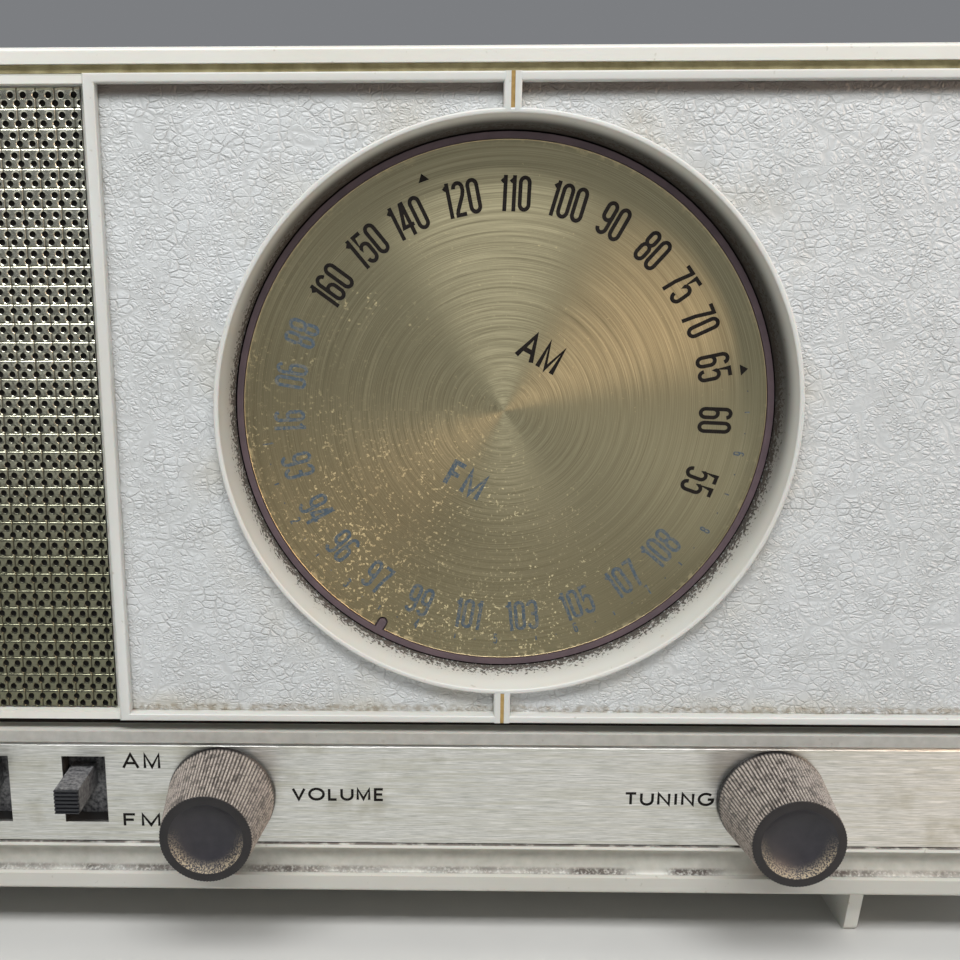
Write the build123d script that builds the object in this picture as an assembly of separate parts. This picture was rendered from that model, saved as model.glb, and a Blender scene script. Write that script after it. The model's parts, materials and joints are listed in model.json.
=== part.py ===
from build123d import *
import os
from math import acos, atan2, cos, pi, radians, sin

# Table radio, AM and FM, with a rotating round dial. Millimetres, +Z up, +X to the right seen from the front,
# +Y from the front to the back. The origin is under the middle of the whole radio, on the surface it stands on.
# Places are given as X, Z in the front view and a depth behind the front face of the frame.

# ---- Driving dimensions -------------------------------------------------------------------------------------
CABINET_WIDTH = 380.0
CABINET_HEIGHT = 178.0
CABINET_DEPTH = 140.0
FOOT_HEIGHT = 13.0
WALL = 3.1                 # cabinet walls, seen from the front as the outer rim
KNOB_REACH = 17.2          # knobs stand this far in front of the face
COVER_BULGE = 8.0          # back cover stands this far behind the cabinet
RIM_GROOVE = 1.6           # groove between the outer rim and the face frame
SECTION_X = -18.8          # seam between the loudspeaker section and the dial section
FRAME_BOTTOM_Z = 53.5
DIAL_X = 63.8
BEZEL_OUTER_R = 59.8
BEZEL_BORE_R = 58.1
BEZEL_DEPTH = 9.5
DISC_R = 55.0
DISC_DEPTH = 9.3
CARRIER_R = 56.4
VOLUME_X = 2.5
TUNING_X = 123.0
CONTROL_Z = 35.4
SWITCH_Z = 36.6            # middle of both switch windows
SWITCH_WINDOW = (9.6, 15.7)
BAND_WINDOW_X = -27.9
AFC_WINDOW_X = -49.4
LEVER_OFFSET = (-1.2, 1.6)  # lever's place in its window at rest, which is the upper stop
LEVER_TRAVEL = 6.5
SPEAKER_X = -103.0
SPEAKER_R = 45.0
SPEAKER_WINDOW = (-180.0, -26.0, 60.0, 180.0)   # opening behind the grille: two X and two Z
DRUM_RATIO = 6.0           # turns of the tuning knob for one turn of the dial
DECK_Z = 52.0              # underside of the chassis deck
SHEET = 1.2                # chassis sheet metal

# ---- Places that follow from them ---------------------------------------------------------------------------
FRONT_Y = -(KNOB_REACH + CABINET_DEPTH + COVER_BULGE) / 2 + KNOB_REACH
HALF_WIDTH = CABINET_WIDTH / 2
CABINET_BOTTOM = FOOT_HEIGHT
CABINET_TOP = FOOT_HEIGHT + CABINET_HEIGHT
CABINET_MID_Z = (CABINET_BOTTOM + CABINET_TOP) / 2
INSIDE_X = HALF_WIDTH - WALL
INSIDE_TOP = CABINET_TOP - WALL
INSIDE_BOTTOM = CABINET_BOTTOM + WALL
FRAME_TOP_Z = INSIDE_TOP - RIM_GROOVE
FRAME_END_X = INSIDE_X - RIM_GROOVE
DIAL_Z = (FRAME_TOP_Z + FRAME_BOTTOM_Z) / 2
TOP_BAR = 1.8
BOTTOM_BAR = 1.6
SIDE_BAR = 2.3
FIELD_BOTTOM_Z = FRAME_BOTTOM_Z + BOTTOM_BAR
FIELD_TOP_Z = FRAME_TOP_Z - TOP_BAR
RIB = 3.5
INLAY_DEPTH = 2.4          # leatherette lies this far behind the frame's front edge
INLAY_THICK = 0.8
FRAME_BACK = 4.8
RECESS_DEPTH = 5.0         # cabinet front wall carries the frames here
FRONT_WALL_BACK = 8.0
LOWER_WALL_BACK = 5.8
LEDGE_TOP = 50.7
STRIP_TOP = 47.8
STRIP_BOTTOM = 24.3
STRIP_DEPTH = 1.4
STRIP_THICK = 0.8
BEAD_DEPTH = 1.15          # bright line under the strip, just proud of it
LOWER_RIM_TOP = 16.9
COVER_THICK = 2.5
COVER_DEPTH = CABINET_DEPTH - COVER_THICK
APRON_DEPTH = 10.0         # front of the chassis apron, behind the control strip
APRON_BACK = APRON_DEPTH + SHEET
CHASSIS_X = (-68.0, 172.0)
CHASSIS_BACK = 118.0
DECK_TOP = DECK_Z + SHEET
SHAFT_R = 2.97
SHAFT_BORE_R = 3.03
BUSHING_R = 4.7
BUSHING_FRONT = 6.2
DRUM_R = 34.0
PULLEY_R = DRUM_R / DRUM_RATIO
CORD_R = 0.4
CORD_GAP = 0.15
CORD_DEPTH = 18.5
GANG_FRONT = 26.0
GANG_BACK = 63.5
GANG_HALF = 21.0
GANG_PLATE = 1.5
GANG_SHAFT_R = 3.2
GANG_BORE_R = 3.26
ROTOR_R = 17.0
ROTOR_PLATES = 9
ROTOR_PITCH = 3.0
DIAL_TURN_UP = 55.0        # degrees clockwise from rest to the top end of both bands
BAFFLE_THICK = 3.0
SPEAKER_DEPTH = FRONT_WALL_BACK + BAFFLE_THICK


# ---- Helpers ------------------------------------------------------------------------------------------------
def at(depth):
    """Y of a plane that lies this far behind the front face."""
    return FRONT_Y + depth


def front_plane(depth):
    """Plane facing the front, with its own X along +X and its own Y along +Z."""
    return Plane(origin=(0, at(depth), 0), x_dir=(1, 0, 0), z_dir=(0, -1, 0))


def plate(outline, depth_from, depth_to):
    """Front-view outline made solid between two depths."""
    return extrude(front_plane(depth_from) * outline, amount=-(depth_to - depth_from))


def rect(x_low, x_high, z_low, z_high):
    """Front-view rectangle between two X and two Z."""
    return Pos((x_low + x_high) / 2, (z_low + z_high) / 2) * Rectangle(x_high - x_low, z_high - z_low)


def block(x_low, x_high, z_low, z_high, depth_from, depth_to):
    """Box between two X, two Z and two depths."""
    return plate(rect(x_low, x_high, z_low, z_high), depth_from, depth_to)


def rod(x, z, radius, depth_from, depth_to):
    """Round bar along Y."""
    return plate(Pos(x, z) * Circle(radius), depth_from, depth_to)


def tube(x, z, outer, inner, depth_from, depth_to):
    """Round sleeve along Y."""
    return plate(Pos(x, z) * (Circle(outer) - Circle(inner)), depth_from, depth_to)


def post(x, depth, radius, z_low, z_high):
    """Round bar along Z."""
    return Pos(x, at(depth), (z_low + z_high) / 2) * Cylinder(radius, z_high - z_low)


def turned(profile, x, z):
    """Profile in (radius, depth) turned about an axis along Y through X, Z."""
    plane = Plane(origin=(x, at(0), z), x_dir=(1, 0, 0), z_dir=(0, 0, 1))
    axis = Axis((x, 0, z), (0, 1, 0))
    return revolve(plane * profile, axis)


def outline(*points):
    """Closed straight-sided outline."""
    return make_face(Polyline(*points, close=True))


def along_x(section, x_low, x_high):
    """Section in (depth, Z) made solid between two X."""
    plane = Plane(origin=(x_low, at(0), 0), x_dir=(0, 1, 0), z_dir=(1, 0, 0))
    return extrude(plane * section, amount=x_high - x_low)


def joined(pieces):
    """Pieces of one kind, kept as one node."""
    return Compound(children=[solid for piece in pieces for solid in piece.solids()])


# ---- Cabinet ------------------------------------------------------------------------------------------------
CORNER_R = 7.0
BOSS_INSET = 5.5
BOSS_HEIGHTS = (INSIDE_BOTTOM + BOSS_INSET, INSIDE_TOP - BOSS_INSET)
COVER_BOSSES = [(side * (INSIDE_X - BOSS_INSET), z) for side in (-1, 1) for z in BOSS_HEIGHTS]
FLOOR_VENT_SPOTS = range(-24, 145, 12)
CHASSIS_SCREW_SPOTS = [(x, depth) for x in (CHASSIS_X[0] + 18, CHASSIS_X[1] - 18) for depth in (18, 110)]


def cabinet_shell():
    """Moulded case: four walls, a front wall with its recesses, open at the back."""
    body = plate(Pos(0, CABINET_MID_Z) * RectangleRounded(CABINET_WIDTH, CABINET_HEIGHT, CORNER_R),
                 0, CABINET_DEPTH)
    front_edges = body.edges().filter_by(lambda e: abs(e.center().Y - at(0)) < 0.01)
    body = fillet(front_edges, 0.9)
    inside = Pos(0, CABINET_MID_Z) * RectangleRounded(2 * INSIDE_X, CABINET_HEIGHT - 2 * WALL, CORNER_R - WALL)
    body -= plate(inside, FRONT_WALL_BACK, CABINET_DEPTH + 1)
    body -= block(-INSIDE_X, INSIDE_X, INSIDE_BOTTOM, LEDGE_TOP - 0.2, LOWER_WALL_BACK, FRONT_WALL_BACK + 1)
    upper = rect(-INSIDE_X, INSIDE_X, LEDGE_TOP, INSIDE_TOP)
    body -= plate(upper, -1, RECESS_DEPTH)
    body -= along_x(lower_front_cut(), -INSIDE_X, INSIDE_X)
    body -= rod(DIAL_X, DIAL_Z, BEZEL_OUTER_R + 0.8, 0, FRONT_WALL_BACK + 1)
    body -= block(*SPEAKER_WINDOW, 0, FRONT_WALL_BACK + 1)
    for x in (BAND_WINDOW_X, AFC_WINDOW_X):
        body -= plate(Pos(x, SWITCH_Z) * Rectangle(*SWITCH_WINDOW), 0, LOWER_WALL_BACK + 1)
    for x in (VOLUME_X, TUNING_X):
        body -= rod(x, CONTROL_Z, 5.4, 0, LOWER_WALL_BACK + 1)
    for x, z in COVER_BOSSES:
        body += rod(x, z, 5.6, 112, COVER_DEPTH) & plate(inside, 100, CABINET_DEPTH)
        body -= rod(x, z, 1.3, 122, CABINET_DEPTH)
    for x, depth in CHASSIS_SCREW_SPOTS:
        body -= post(x, depth, 2.0, CABINET_BOTTOM - 1, INSIDE_BOTTOM + 1)
    for x in FLOOR_VENT_SPOTS:
        body -= block(x - 1.75, x + 1.75, CABINET_BOTTOM - 1, CABINET_BOTTOM + WALL + 1, 42, 86)
    return body


def lower_front_cut():
    """Everything taken off the lower front: ledge, strip recess, bead, cove and the step of the lower rim."""
    ledge = (0.8, LEDGE_TOP)
    ledge_foot = (0.8, STRIP_TOP + 0.3)
    strip_floor = STRIP_DEPTH + STRIP_THICK
    bead_top = (BEAD_DEPTH, STRIP_BOTTOM - 0.3)
    bead_foot = (BEAD_DEPTH, STRIP_BOTTOM - 1.2)
    cove_foot = (1.6, LOWER_RIM_TOP)
    upper = Polyline((-2, LEDGE_TOP), ledge, ledge_foot, (strip_floor, STRIP_TOP + 0.3),
                     (strip_floor, STRIP_BOTTOM - 0.3), bead_top, bead_foot)
    cove = ThreePointArc(bead_foot, (3.0, 20.2), cove_foot)
    lower = Polyline(cove_foot, (-2, LOWER_RIM_TOP), (-2, LEDGE_TOP))
    return make_face([upper, cove, lower])


def foot_runner(x):
    """Thin fin along the underside, raked at its front end."""
    side = outline((4, CABINET_BOTTOM), (6.4, 1.2), (7.4, 0), (118, 0), (126, CABINET_BOTTOM))
    return along_x(side, x - 1.5, x + 1.5)


# ---- Dial section -------------------------------------------------------------------------------------------
def face_frame():
    """Raised frame, panel behind the leatherette, bezel ring and its two ribs, in one moulding."""
    edge = rect(SECTION_X, FRAME_END_X, FRAME_BOTTOM_Z, FRAME_TOP_Z)
    field = rect(SECTION_X + SIDE_BAR, FRAME_END_X - SIDE_BAR, FIELD_BOTTOM_Z, FIELD_TOP_Z)
    ribs = rect(DIAL_X - RIB / 2, DIAL_X + RIB / 2, FRAME_BOTTOM_Z, FRAME_TOP_Z)
    centre = Pos(DIAL_X, DIAL_Z)
    bore = centre * Circle(BEZEL_BORE_R)
    frame = plate(edge, 0, FRAME_BACK) - plate(field - ribs, -1, INLAY_DEPTH + INLAY_THICK)
    frame += tube(DIAL_X, DIAL_Z, BEZEL_OUTER_R, BEZEL_BORE_R, 0, BEZEL_DEPTH)
    frame -= plate(bore, -1, BEZEL_DEPTH + 1)
    for x_low, x_high, z_low, z_high in index_grooves():
        frame -= block(x_low, x_high, z_low, z_high, -1, 0.5)
    return frame


def index_grooves():
    """Two narrow grooves down the middle of the ribs."""
    x_low = DIAL_X - 0.4
    x_high = DIAL_X + 0.4
    ring_top = DIAL_Z + BEZEL_OUTER_R - 0.5
    ring_bottom = DIAL_Z - BEZEL_OUTER_R + 0.5
    return [(x_low, x_high, ring_top, FRAME_TOP_Z), (x_low, x_high, FRAME_BOTTOM_Z, ring_bottom)]


def tuning_index_lines():
    """Gold lines inlaid in the grooves, the fixed pointers of both bands."""
    return joined([block(*groove, 0.15, 0.5) for groove in index_grooves()])


def leatherette(side):
    """One embossed inlay, cut round the bezel; side is -1 for the left one and 1 for the right one."""
    gap = 0.15
    x_low = SECTION_X + SIDE_BAR + gap
    x_high = DIAL_X - RIB / 2 - gap
    if side > 0:
        x_low = DIAL_X + RIB / 2 + gap
        x_high = FRAME_END_X - SIDE_BAR - gap
    sheet = rect(x_low, x_high, FIELD_BOTTOM_Z + gap, FIELD_TOP_Z - gap)
    sheet -= Pos(DIAL_X, DIAL_Z) * Circle(BEZEL_OUTER_R + gap)
    return plate(sheet, INLAY_DEPTH, INLAY_DEPTH + INLAY_THICK)


SHIELD_R = BEZEL_OUTER_R + 0.9
SHIELD_THICK = 0.6
SHIELD_FLOOR = 12.9
SHIELD_HOLE_R = 9.0
TAB_ANGLE = 241.0          # counter-clockwise from +X in the front view
TAB_R = 0.8
TAB_REACH = 1.5            # middle of the tab's round end, inside the edge of the scale plate
NOTCH_R = 1.15


def tab_outline(radius):
    """Round-ended tab or notch that points from the edge to the middle of the dial."""
    round_end = Pos(DISC_R - TAB_REACH, 0) * Circle(radius)
    stem = Pos(DISC_R - TAB_REACH / 2 + 0.5, 0) * Rectangle(TAB_REACH + 1, 2 * radius)
    return Pos(DIAL_X, DIAL_Z) * Rot(0, 0, TAB_ANGLE) * (round_end + stem)


def dial_disc():
    """Brushed brass scale plate with a notch for the carrier's tab."""
    disc = Pos(DIAL_X, DIAL_Z) * Circle(DISC_R)
    return plate(disc - tab_outline(NOTCH_R), DISC_DEPTH, DISC_DEPTH + 0.6)


def dial_rim():
    """Brown carrier of the scale plate: lip round its edge, locating tab, and a hub on the shaft."""
    back_of_disc = DISC_DEPTH + 0.6
    carrier = rod(DIAL_X, DIAL_Z, CARRIER_R, back_of_disc, back_of_disc + 1.8)
    carrier += tube(DIAL_X, DIAL_Z, CARRIER_R, DISC_R + 0.1, DISC_DEPTH - 0.3, back_of_disc)
    tab = tab_outline(TAB_R) & (Pos(DIAL_X, DIAL_Z) * Circle(CARRIER_R - 0.5))
    carrier += plate(tab, DISC_DEPTH - 0.2, back_of_disc)
    carrier += rod(DIAL_X, DIAL_Z, 7, back_of_disc, 15)
    carrier -= rod(DIAL_X, DIAL_Z, GANG_SHAFT_R, back_of_disc + 1, 16)
    return carrier


def dial_shield():
    """Black dish behind the dial, fixed to the back of the front wall, with a hole for the hub."""
    flange = (SHIELD_R + 5.0, SHIELD_R - SHIELD_THICK, FRONT_WALL_BACK, FRONT_WALL_BACK + SHIELD_THICK)
    wall = (SHIELD_R, SHIELD_R - SHIELD_THICK, FRONT_WALL_BACK, SHIELD_FLOOR + SHIELD_THICK)
    floor = (SHIELD_R, SHIELD_HOLE_R, SHIELD_FLOOR, SHIELD_FLOOR + SHIELD_THICK)
    return sum([tube(DIAL_X, DIAL_Z, *ring) for ring in (wall, floor)], tube(DIAL_X, DIAL_Z, *flange))


def dial_drum():
    """Grooved cord drum on the same shaft, lightened by round holes."""
    profile = outline((GANG_SHAFT_R, 15), (DRUM_R + 2.5, 15), (DRUM_R + 2.5, 17), (DRUM_R, 17.6),
                      (DRUM_R, 19.4), (DRUM_R + 2.5, 20), (DRUM_R + 2.5, 22), (GANG_SHAFT_R, 22))
    drum = turned(profile, DIAL_X, DIAL_Z)
    for index in range(6):
        angle = index * pi / 3
        drum -= rod(DIAL_X + 20 * cos(angle), DIAL_Z + 20 * sin(angle), 7, 14, 23)
    return drum


# ---- Variable capacitor behind the dial ---------------------------------------------------------------------
def gang_frame():
    """U-shaped frame with a bearing for the rotor shaft in each end plate."""
    low = DIAL_Z - GANG_HALF
    high = DIAL_Z + GANG_HALF
    left = DIAL_X - GANG_HALF
    right = DIAL_X + GANG_HALF
    frame = block(left, right, low, low + GANG_PLATE, GANG_FRONT, GANG_BACK)
    frame += block(left, right, low, high, GANG_FRONT, GANG_FRONT + GANG_PLATE)
    frame += block(left, right, low, high, GANG_BACK - GANG_PLATE, GANG_BACK)
    frame -= rod(DIAL_X, DIAL_Z, GANG_BORE_R, GANG_FRONT - 1, GANG_BACK + 1)
    return frame


def rotor_depth(index):
    """Depth of the front of one rotor plate."""
    return GANG_FRONT + 6 + index * ROTOR_PITCH


def gang_rotor():
    """Shaft and half-round plates; they stand clear of the stator at the top end of the bands."""
    rotor = rod(DIAL_X, DIAL_Z, GANG_SHAFT_R, DISC_DEPTH + 1.6, GANG_BACK + 2)
    half = Circle(ROTOR_R) & (Pos(0, ROTOR_R) * Rectangle(2 * ROTOR_R, 2 * ROTOR_R))
    half = Pos(DIAL_X, DIAL_Z) * Rot(0, 0, DIAL_TURN_UP) * half
    for index in range(ROTOR_PLATES):
        rotor += plate(half, rotor_depth(index), rotor_depth(index) + 0.8)
    return rotor


def gang_stator():
    """Fixed plates between the rotor's, carried by two rods on insulating blocks."""
    low = DIAL_Z - GANG_HALF + GANG_PLATE
    stator_plate = rect(DIAL_X - 18.5, DIAL_X + 18.5, low + 1.5, DIAL_Z - 1)
    stator_plate -= Pos(DIAL_X, DIAL_Z) * Circle(5.5)
    spots = [(DIAL_X - 16.5, low + 3.5), (DIAL_X + 16.5, low + 3.5)]
    first = rotor_depth(0) - ROTOR_PITCH / 2
    last = rotor_depth(ROTOR_PLATES) - ROTOR_PITCH / 2
    stator = rod(*spots[0], 1.5, first - 1, last + 1.8) + rod(*spots[1], 1.5, first - 1, last + 1.8)
    for index in range(ROTOR_PLATES + 1):
        depth = rotor_depth(index) - ROTOR_PITCH / 2
        stator += plate(stator_plate, depth, depth + 0.8)
    for x, z in spots:
        stator += block(x - 2.5, x + 2.5, low, z + 1, first - 1, first - 0.2)
        stator += block(x - 2.5, x + 2.5, low, z + 1, last + 1, last + 1.8)
    return stator


def gang_bracket():
    """Bent stand that holds the capacitor above the deck."""
    left = DIAL_X - GANG_HALF
    right = DIAL_X + GANG_HALF
    top = DIAL_Z - GANG_HALF
    stand = block(left, right, top - SHEET, top, GANG_FRONT, GANG_BACK)
    for x in (left, right - SHEET):
        stand += block(x, x + SHEET, DECK_TOP, top, GANG_FRONT + 2, GANG_BACK - 2)
    stand += block(left - 8, left + SHEET, DECK_TOP, DECK_TOP + SHEET, GANG_FRONT + 2, GANG_BACK - 2)
    stand += block(right - SHEET, right + 8, DECK_TOP, DECK_TOP + SHEET, GANG_FRONT + 2, GANG_BACK - 2)
    return stand


def dial_cord():
    """Cord from the tuning shaft's pulley round the drum and back, both the same way round."""
    drum = Vector(DIAL_X, DIAL_Z)
    pulley = Vector(TUNING_X, CONTROL_Z)
    drum_r = DRUM_R + CORD_R + CORD_GAP
    pulley_r = PULLEY_R + CORD_R + CORD_GAP
    line = pulley - drum
    heading = atan2(line.Y, line.X)
    opening = acos((drum_r - pulley_r) / line.length)

    def on(centre, radius, angle):
        return (centre.X + radius * cos(angle), centre.Y + radius * sin(angle))

    ends = [heading + opening, heading - opening]
    path = Line(on(drum, drum_r, ends[0]), on(pulley, pulley_r, ends[0]))
    path += ThreePointArc(*[on(pulley, pulley_r, angle) for angle in (ends[0], heading, ends[1])])
    path += Line(on(pulley, pulley_r, ends[1]), on(drum, drum_r, ends[1]))
    path += ThreePointArc(*[on(drum, drum_r, angle) for angle in (ends[1], heading + pi, ends[0])])
    region = make_face(path)
    outer = offset(region, amount=CORD_R)
    inner = offset(region, amount=-CORD_R)
    return plate(outer - inner, CORD_DEPTH - CORD_R, CORD_DEPTH + CORD_R)


# ---- Loudspeaker section ------------------------------------------------------------------------------------
GRILLE_BACK_STEP = 1.0     # loudspeaker section's frame stands this far behind the dial section's
GRILLE_DEPTH = 3.2
GRILLE_THICK = 0.8


def grille_frame():
    """Frame on three sides of the grille, with a rebate behind it."""
    edge = rect(-FRAME_END_X, SECTION_X - 0.15, FRAME_BOTTOM_Z, FRAME_TOP_Z)
    field = rect(-FRAME_END_X + SIDE_BAR, SECTION_X + 1, FIELD_BOTTOM_Z, FIELD_TOP_Z)
    window = rect(*SPEAKER_WINDOW)
    frame = plate(edge, GRILLE_BACK_STEP, FRAME_BACK) - plate(field, 0, GRILLE_DEPTH + GRILLE_THICK)
    return frame - plate(window, 0, FRAME_BACK + 1)


def speaker_grille():
    """Stamped sheet; its perforation and weave are too fine for this model."""
    gap = 0.3
    return block(-FRAME_END_X + SIDE_BAR + gap, SECTION_X - 1.5, FIELD_BOTTOM_Z + gap,
                 FIELD_TOP_Z - gap, GRILLE_DEPTH, GRILLE_DEPTH + GRILLE_THICK)


def speaker_baffle():
    """Fibreboard behind the cabinet's front wall, with the loudspeaker's hole."""
    lap = 4.0
    x_low, x_high, z_low, z_high = SPEAKER_WINDOW
    board = rect(x_low - lap, x_high + lap, z_low - lap, z_high + lap)
    board -= Pos(SPEAKER_X, DIAL_Z) * Circle(SPEAKER_R - 1)
    for x, z in speaker_screw_spots():
        board -= Pos(x, z) * Circle(1.5)
    return plate(board, FRONT_WALL_BACK, SPEAKER_DEPTH)


def speaker_screw_spots():
    """Four corners of the loudspeaker's square flange."""
    reach = SPEAKER_R - 1.5
    return [(SPEAKER_X + sx * reach, DIAL_Z + sz * reach) for sx in (-1, 1) for sz in (-1, 1)]


def speaker_gasket():
    """Felt ring between the board and the loudspeaker."""
    return tube(SPEAKER_X, DIAL_Z, SPEAKER_R + 4, SPEAKER_R - 1, SPEAKER_DEPTH, SPEAKER_DEPTH + 1)


BASKET_FRONT = SPEAKER_DEPTH + 1
BASKET_BACK = BASKET_FRONT + 34


def speaker_basket():
    """Pressed frame: square flange, four windows round the cone, flat back plate."""
    flange = Pos(SPEAKER_X, DIAL_Z) * RectangleRounded(2 * SPEAKER_R + 10, 2 * SPEAKER_R + 10, 8)
    flange -= Pos(SPEAKER_X, DIAL_Z) * Circle(SPEAKER_R)
    for x, z in speaker_screw_spots():
        flange -= Pos(x, z) * Circle(1.9)
    basket = plate(flange, BASKET_FRONT, BASKET_FRONT + 1)
    profile = outline((SPEAKER_R, BASKET_FRONT), (SPEAKER_R + 1, BASKET_FRONT), (24, BASKET_BACK - 1),
                      (24, BASKET_BACK), (10, BASKET_BACK), (10, BASKET_BACK - 1), (23, BASKET_BACK - 1))
    basket += turned(profile, SPEAKER_X, DIAL_Z)
    for index in range(4):
        window = Pos(SPEAKER_X, DIAL_Z) * Rot(0, 0, index * 90) * Pos(34, 0) * Rectangle(10, 26)
        basket -= plate(window, BASKET_FRONT + 2, BASKET_BACK - 2)
    return basket


def speaker_cone():
    """Paper cone with a rolled edge glued to the flange's inside."""
    profile = outline((SPEAKER_R - 0.8, BASKET_FRONT + 0.2), (SPEAKER_R - 6, BASKET_FRONT + 0.2),
                      (11, BASKET_BACK - 8), (11, BASKET_BACK - 7), (SPEAKER_R - 6, BASKET_FRONT + 1.2),
                      (SPEAKER_R - 0.8, BASKET_FRONT + 0.8))
    return turned(profile, SPEAKER_X, DIAL_Z)


def speaker_dust_cap():
    """Shallow felt dome on the cone's neck."""
    rim = BASKET_BACK - 8
    height = 4.2
    ball_r = (10.8 ** 2 + height ** 2) / (2 * height)
    ball = Pos(SPEAKER_X, at(rim - height + ball_r), DIAL_Z)
    shell = ball * Sphere(ball_r) - ball * Sphere(ball_r - 0.8)
    return shell & rod(SPEAKER_X, DIAL_Z, 12, rim - height - 1, rim)


def speaker_magnet():
    """Ceramic ring magnet with its back plate and pole."""
    magnet = rod(SPEAKER_X, DIAL_Z, 25, BASKET_BACK, BASKET_BACK + 11)
    magnet += rod(SPEAKER_X, DIAL_Z, 22, BASKET_BACK + 11, BASKET_BACK + 14)
    magnet += rod(SPEAKER_X, DIAL_Z, 9, BASKET_BACK - 4, BASKET_BACK)
    return magnet


def speaker_screws():
    """Four pan-head screws through the flange into the board."""
    head = BASKET_FRONT + 1
    screws = [rod(x, z, 1.5, SPEAKER_DEPTH - 2, head) + rod(x, z, 3, head, head + 1.8)
              - block(x - 2.2, x + 2.2, z - 0.4, z + 0.4, head + 1, head + 2)
              for x, z in speaker_screw_spots()]
    return joined(screws)


# ---- Control strip and its knobs ----------------------------------------------------------------------------
def control_strip():
    """Brushed strip with a bevelled top edge, two shaft holes and two switch windows."""
    back = STRIP_DEPTH + STRIP_THICK
    section = outline((STRIP_DEPTH + 0.5, STRIP_TOP), (STRIP_DEPTH, STRIP_TOP - 0.8),
                      (STRIP_DEPTH, STRIP_BOTTOM), (back, STRIP_BOTTOM), (back, STRIP_TOP))
    strip = along_x(section, -INSIDE_X + 0.3, INSIDE_X - 0.3)
    for x in (BAND_WINDOW_X, AFC_WINDOW_X):
        strip -= plate(Pos(x, SWITCH_Z) * Rectangle(*SWITCH_WINDOW), 0, 4)
    for x in (VOLUME_X, TUNING_X):
        strip -= rod(x, CONTROL_Z, 5.2, 0, 4)
    return strip


KNOB_BACK = STRIP_DEPTH - 0.5
KNOB_BASE_R = 11.8
KNOB_TIP_R = 9.6
KNOB_FLUTES = 90
FLUTE_DEPTH = 0.32
DISH_R = 7.7
DISH_DEPTH = 2.4


def flute_star(x, radius):
    """Toothed outline of one cross-section of a knob."""
    points = []
    for index in range(2 * KNOB_FLUTES):
        angle = index * pi / KNOB_FLUTES
        reach = radius - (index % 2) * FLUTE_DEPTH
        points.append((x + reach * cos(angle), CONTROL_Z + reach * sin(angle)))
    return outline(*points)


def knob(x):
    """Tapered fluted knob with a dished end, a collar at its base and a hollow back."""
    collar = KNOB_BACK - 1.0
    base = front_plane(collar) * flute_star(x, KNOB_BASE_R)
    tip = front_plane(-KNOB_REACH) * flute_star(x, KNOB_TIP_R)
    body = loft([base, tip], ruled=True)
    body += rod(x, CONTROL_Z, KNOB_BASE_R, collar, KNOB_BACK)
    ball_r = (DISH_R ** 2 + DISH_DEPTH ** 2) / (2 * DISH_DEPTH)
    body -= Pos(x, at(-KNOB_REACH + DISH_DEPTH - ball_r), CONTROL_Z) * Sphere(ball_r)
    body -= tube(x, CONTROL_Z, 8.6, 5.2, -8, KNOB_BACK + 1)
    body -= rod(x, CONTROL_Z, 3.0, -12, KNOB_BACK + 1)
    return body


def control_shaft(x, depth_to):
    """Round shaft with a flat where the knob grips it."""
    shaft = rod(x, CONTROL_Z, SHAFT_R, -11.5, depth_to)
    return shaft - block(x - 4, x + 4, CONTROL_Z + 2.2, CONTROL_Z + 4, -12, -3)


def knob_spring(x):
    """Leaf spring between the shaft's flat and the knob's bore."""
    return block(x - 1.3, x + 1.3, CONTROL_Z + 2.25, CONTROL_Z + 2.6, -11, -4)


def tuning_shaft():
    """Shaft with the cord pulley behind the apron."""
    profile = outline((SHAFT_R - 1, 16.4), (PULLEY_R + 2.2, 16.4), (PULLEY_R + 2.2, 17.2), (PULLEY_R, 17.7),
                      (PULLEY_R, 19.3), (PULLEY_R + 2.2, 19.8), (PULLEY_R + 2.2, 20.6), (SHAFT_R - 1, 20.6))
    return control_shaft(TUNING_X, 22) + turned(profile, TUNING_X, CONTROL_Z)


def bushing(x, depth_to):
    """Threaded sleeve through the apron, its thread drawn as fine grooves."""
    sleeve = tube(x, CONTROL_Z, BUSHING_R, SHAFT_BORE_R, BUSHING_FRONT, depth_to)
    for index in range(3):
        depth = BUSHING_FRONT + 0.4 + index * 0.6
        sleeve -= tube(x, CONTROL_Z, BUSHING_R + 1, BUSHING_R - 0.3, depth, depth + 0.3)
    return sleeve


def tuning_bushing():
    """Bearing of the tuning shaft with a flange behind the apron."""
    flange = tube(TUNING_X, CONTROL_Z, 8, SHAFT_BORE_R, APRON_BACK, APRON_BACK + 1.6)
    return bushing(TUNING_X, APRON_BACK + 4) + flange


def volume_pot_body():
    """Volume control with its mains switch behind, bushing in front and three lugs below."""
    body = bushing(VOLUME_X, APRON_BACK) + tube(VOLUME_X, CONTROL_Z, 12, SHAFT_BORE_R, APRON_BACK, 22.2)
    body += rod(VOLUME_X, CONTROL_Z, 12, 22.2, 24)
    body += rod(VOLUME_X, CONTROL_Z, 10.5, 24, 33)
    for offset_x in (-6, 0, 6):
        body += block(VOLUME_X + offset_x - 1, VOLUME_X + offset_x + 1, CONTROL_Z - 17, CONTROL_Z - 9, 16, 16.8)
    return body


def bushing_nuts():
    """Two hexagon nuts in front of the apron."""
    nuts = []
    for x in (VOLUME_X, TUNING_X):
        nut = Pos(x, CONTROL_Z) * (RegularPolygon(7, 6) - Circle(BUSHING_R))
        nuts.append(plate(nut, APRON_DEPTH - 1.9, APRON_DEPTH))
    return joined(nuts)


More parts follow.
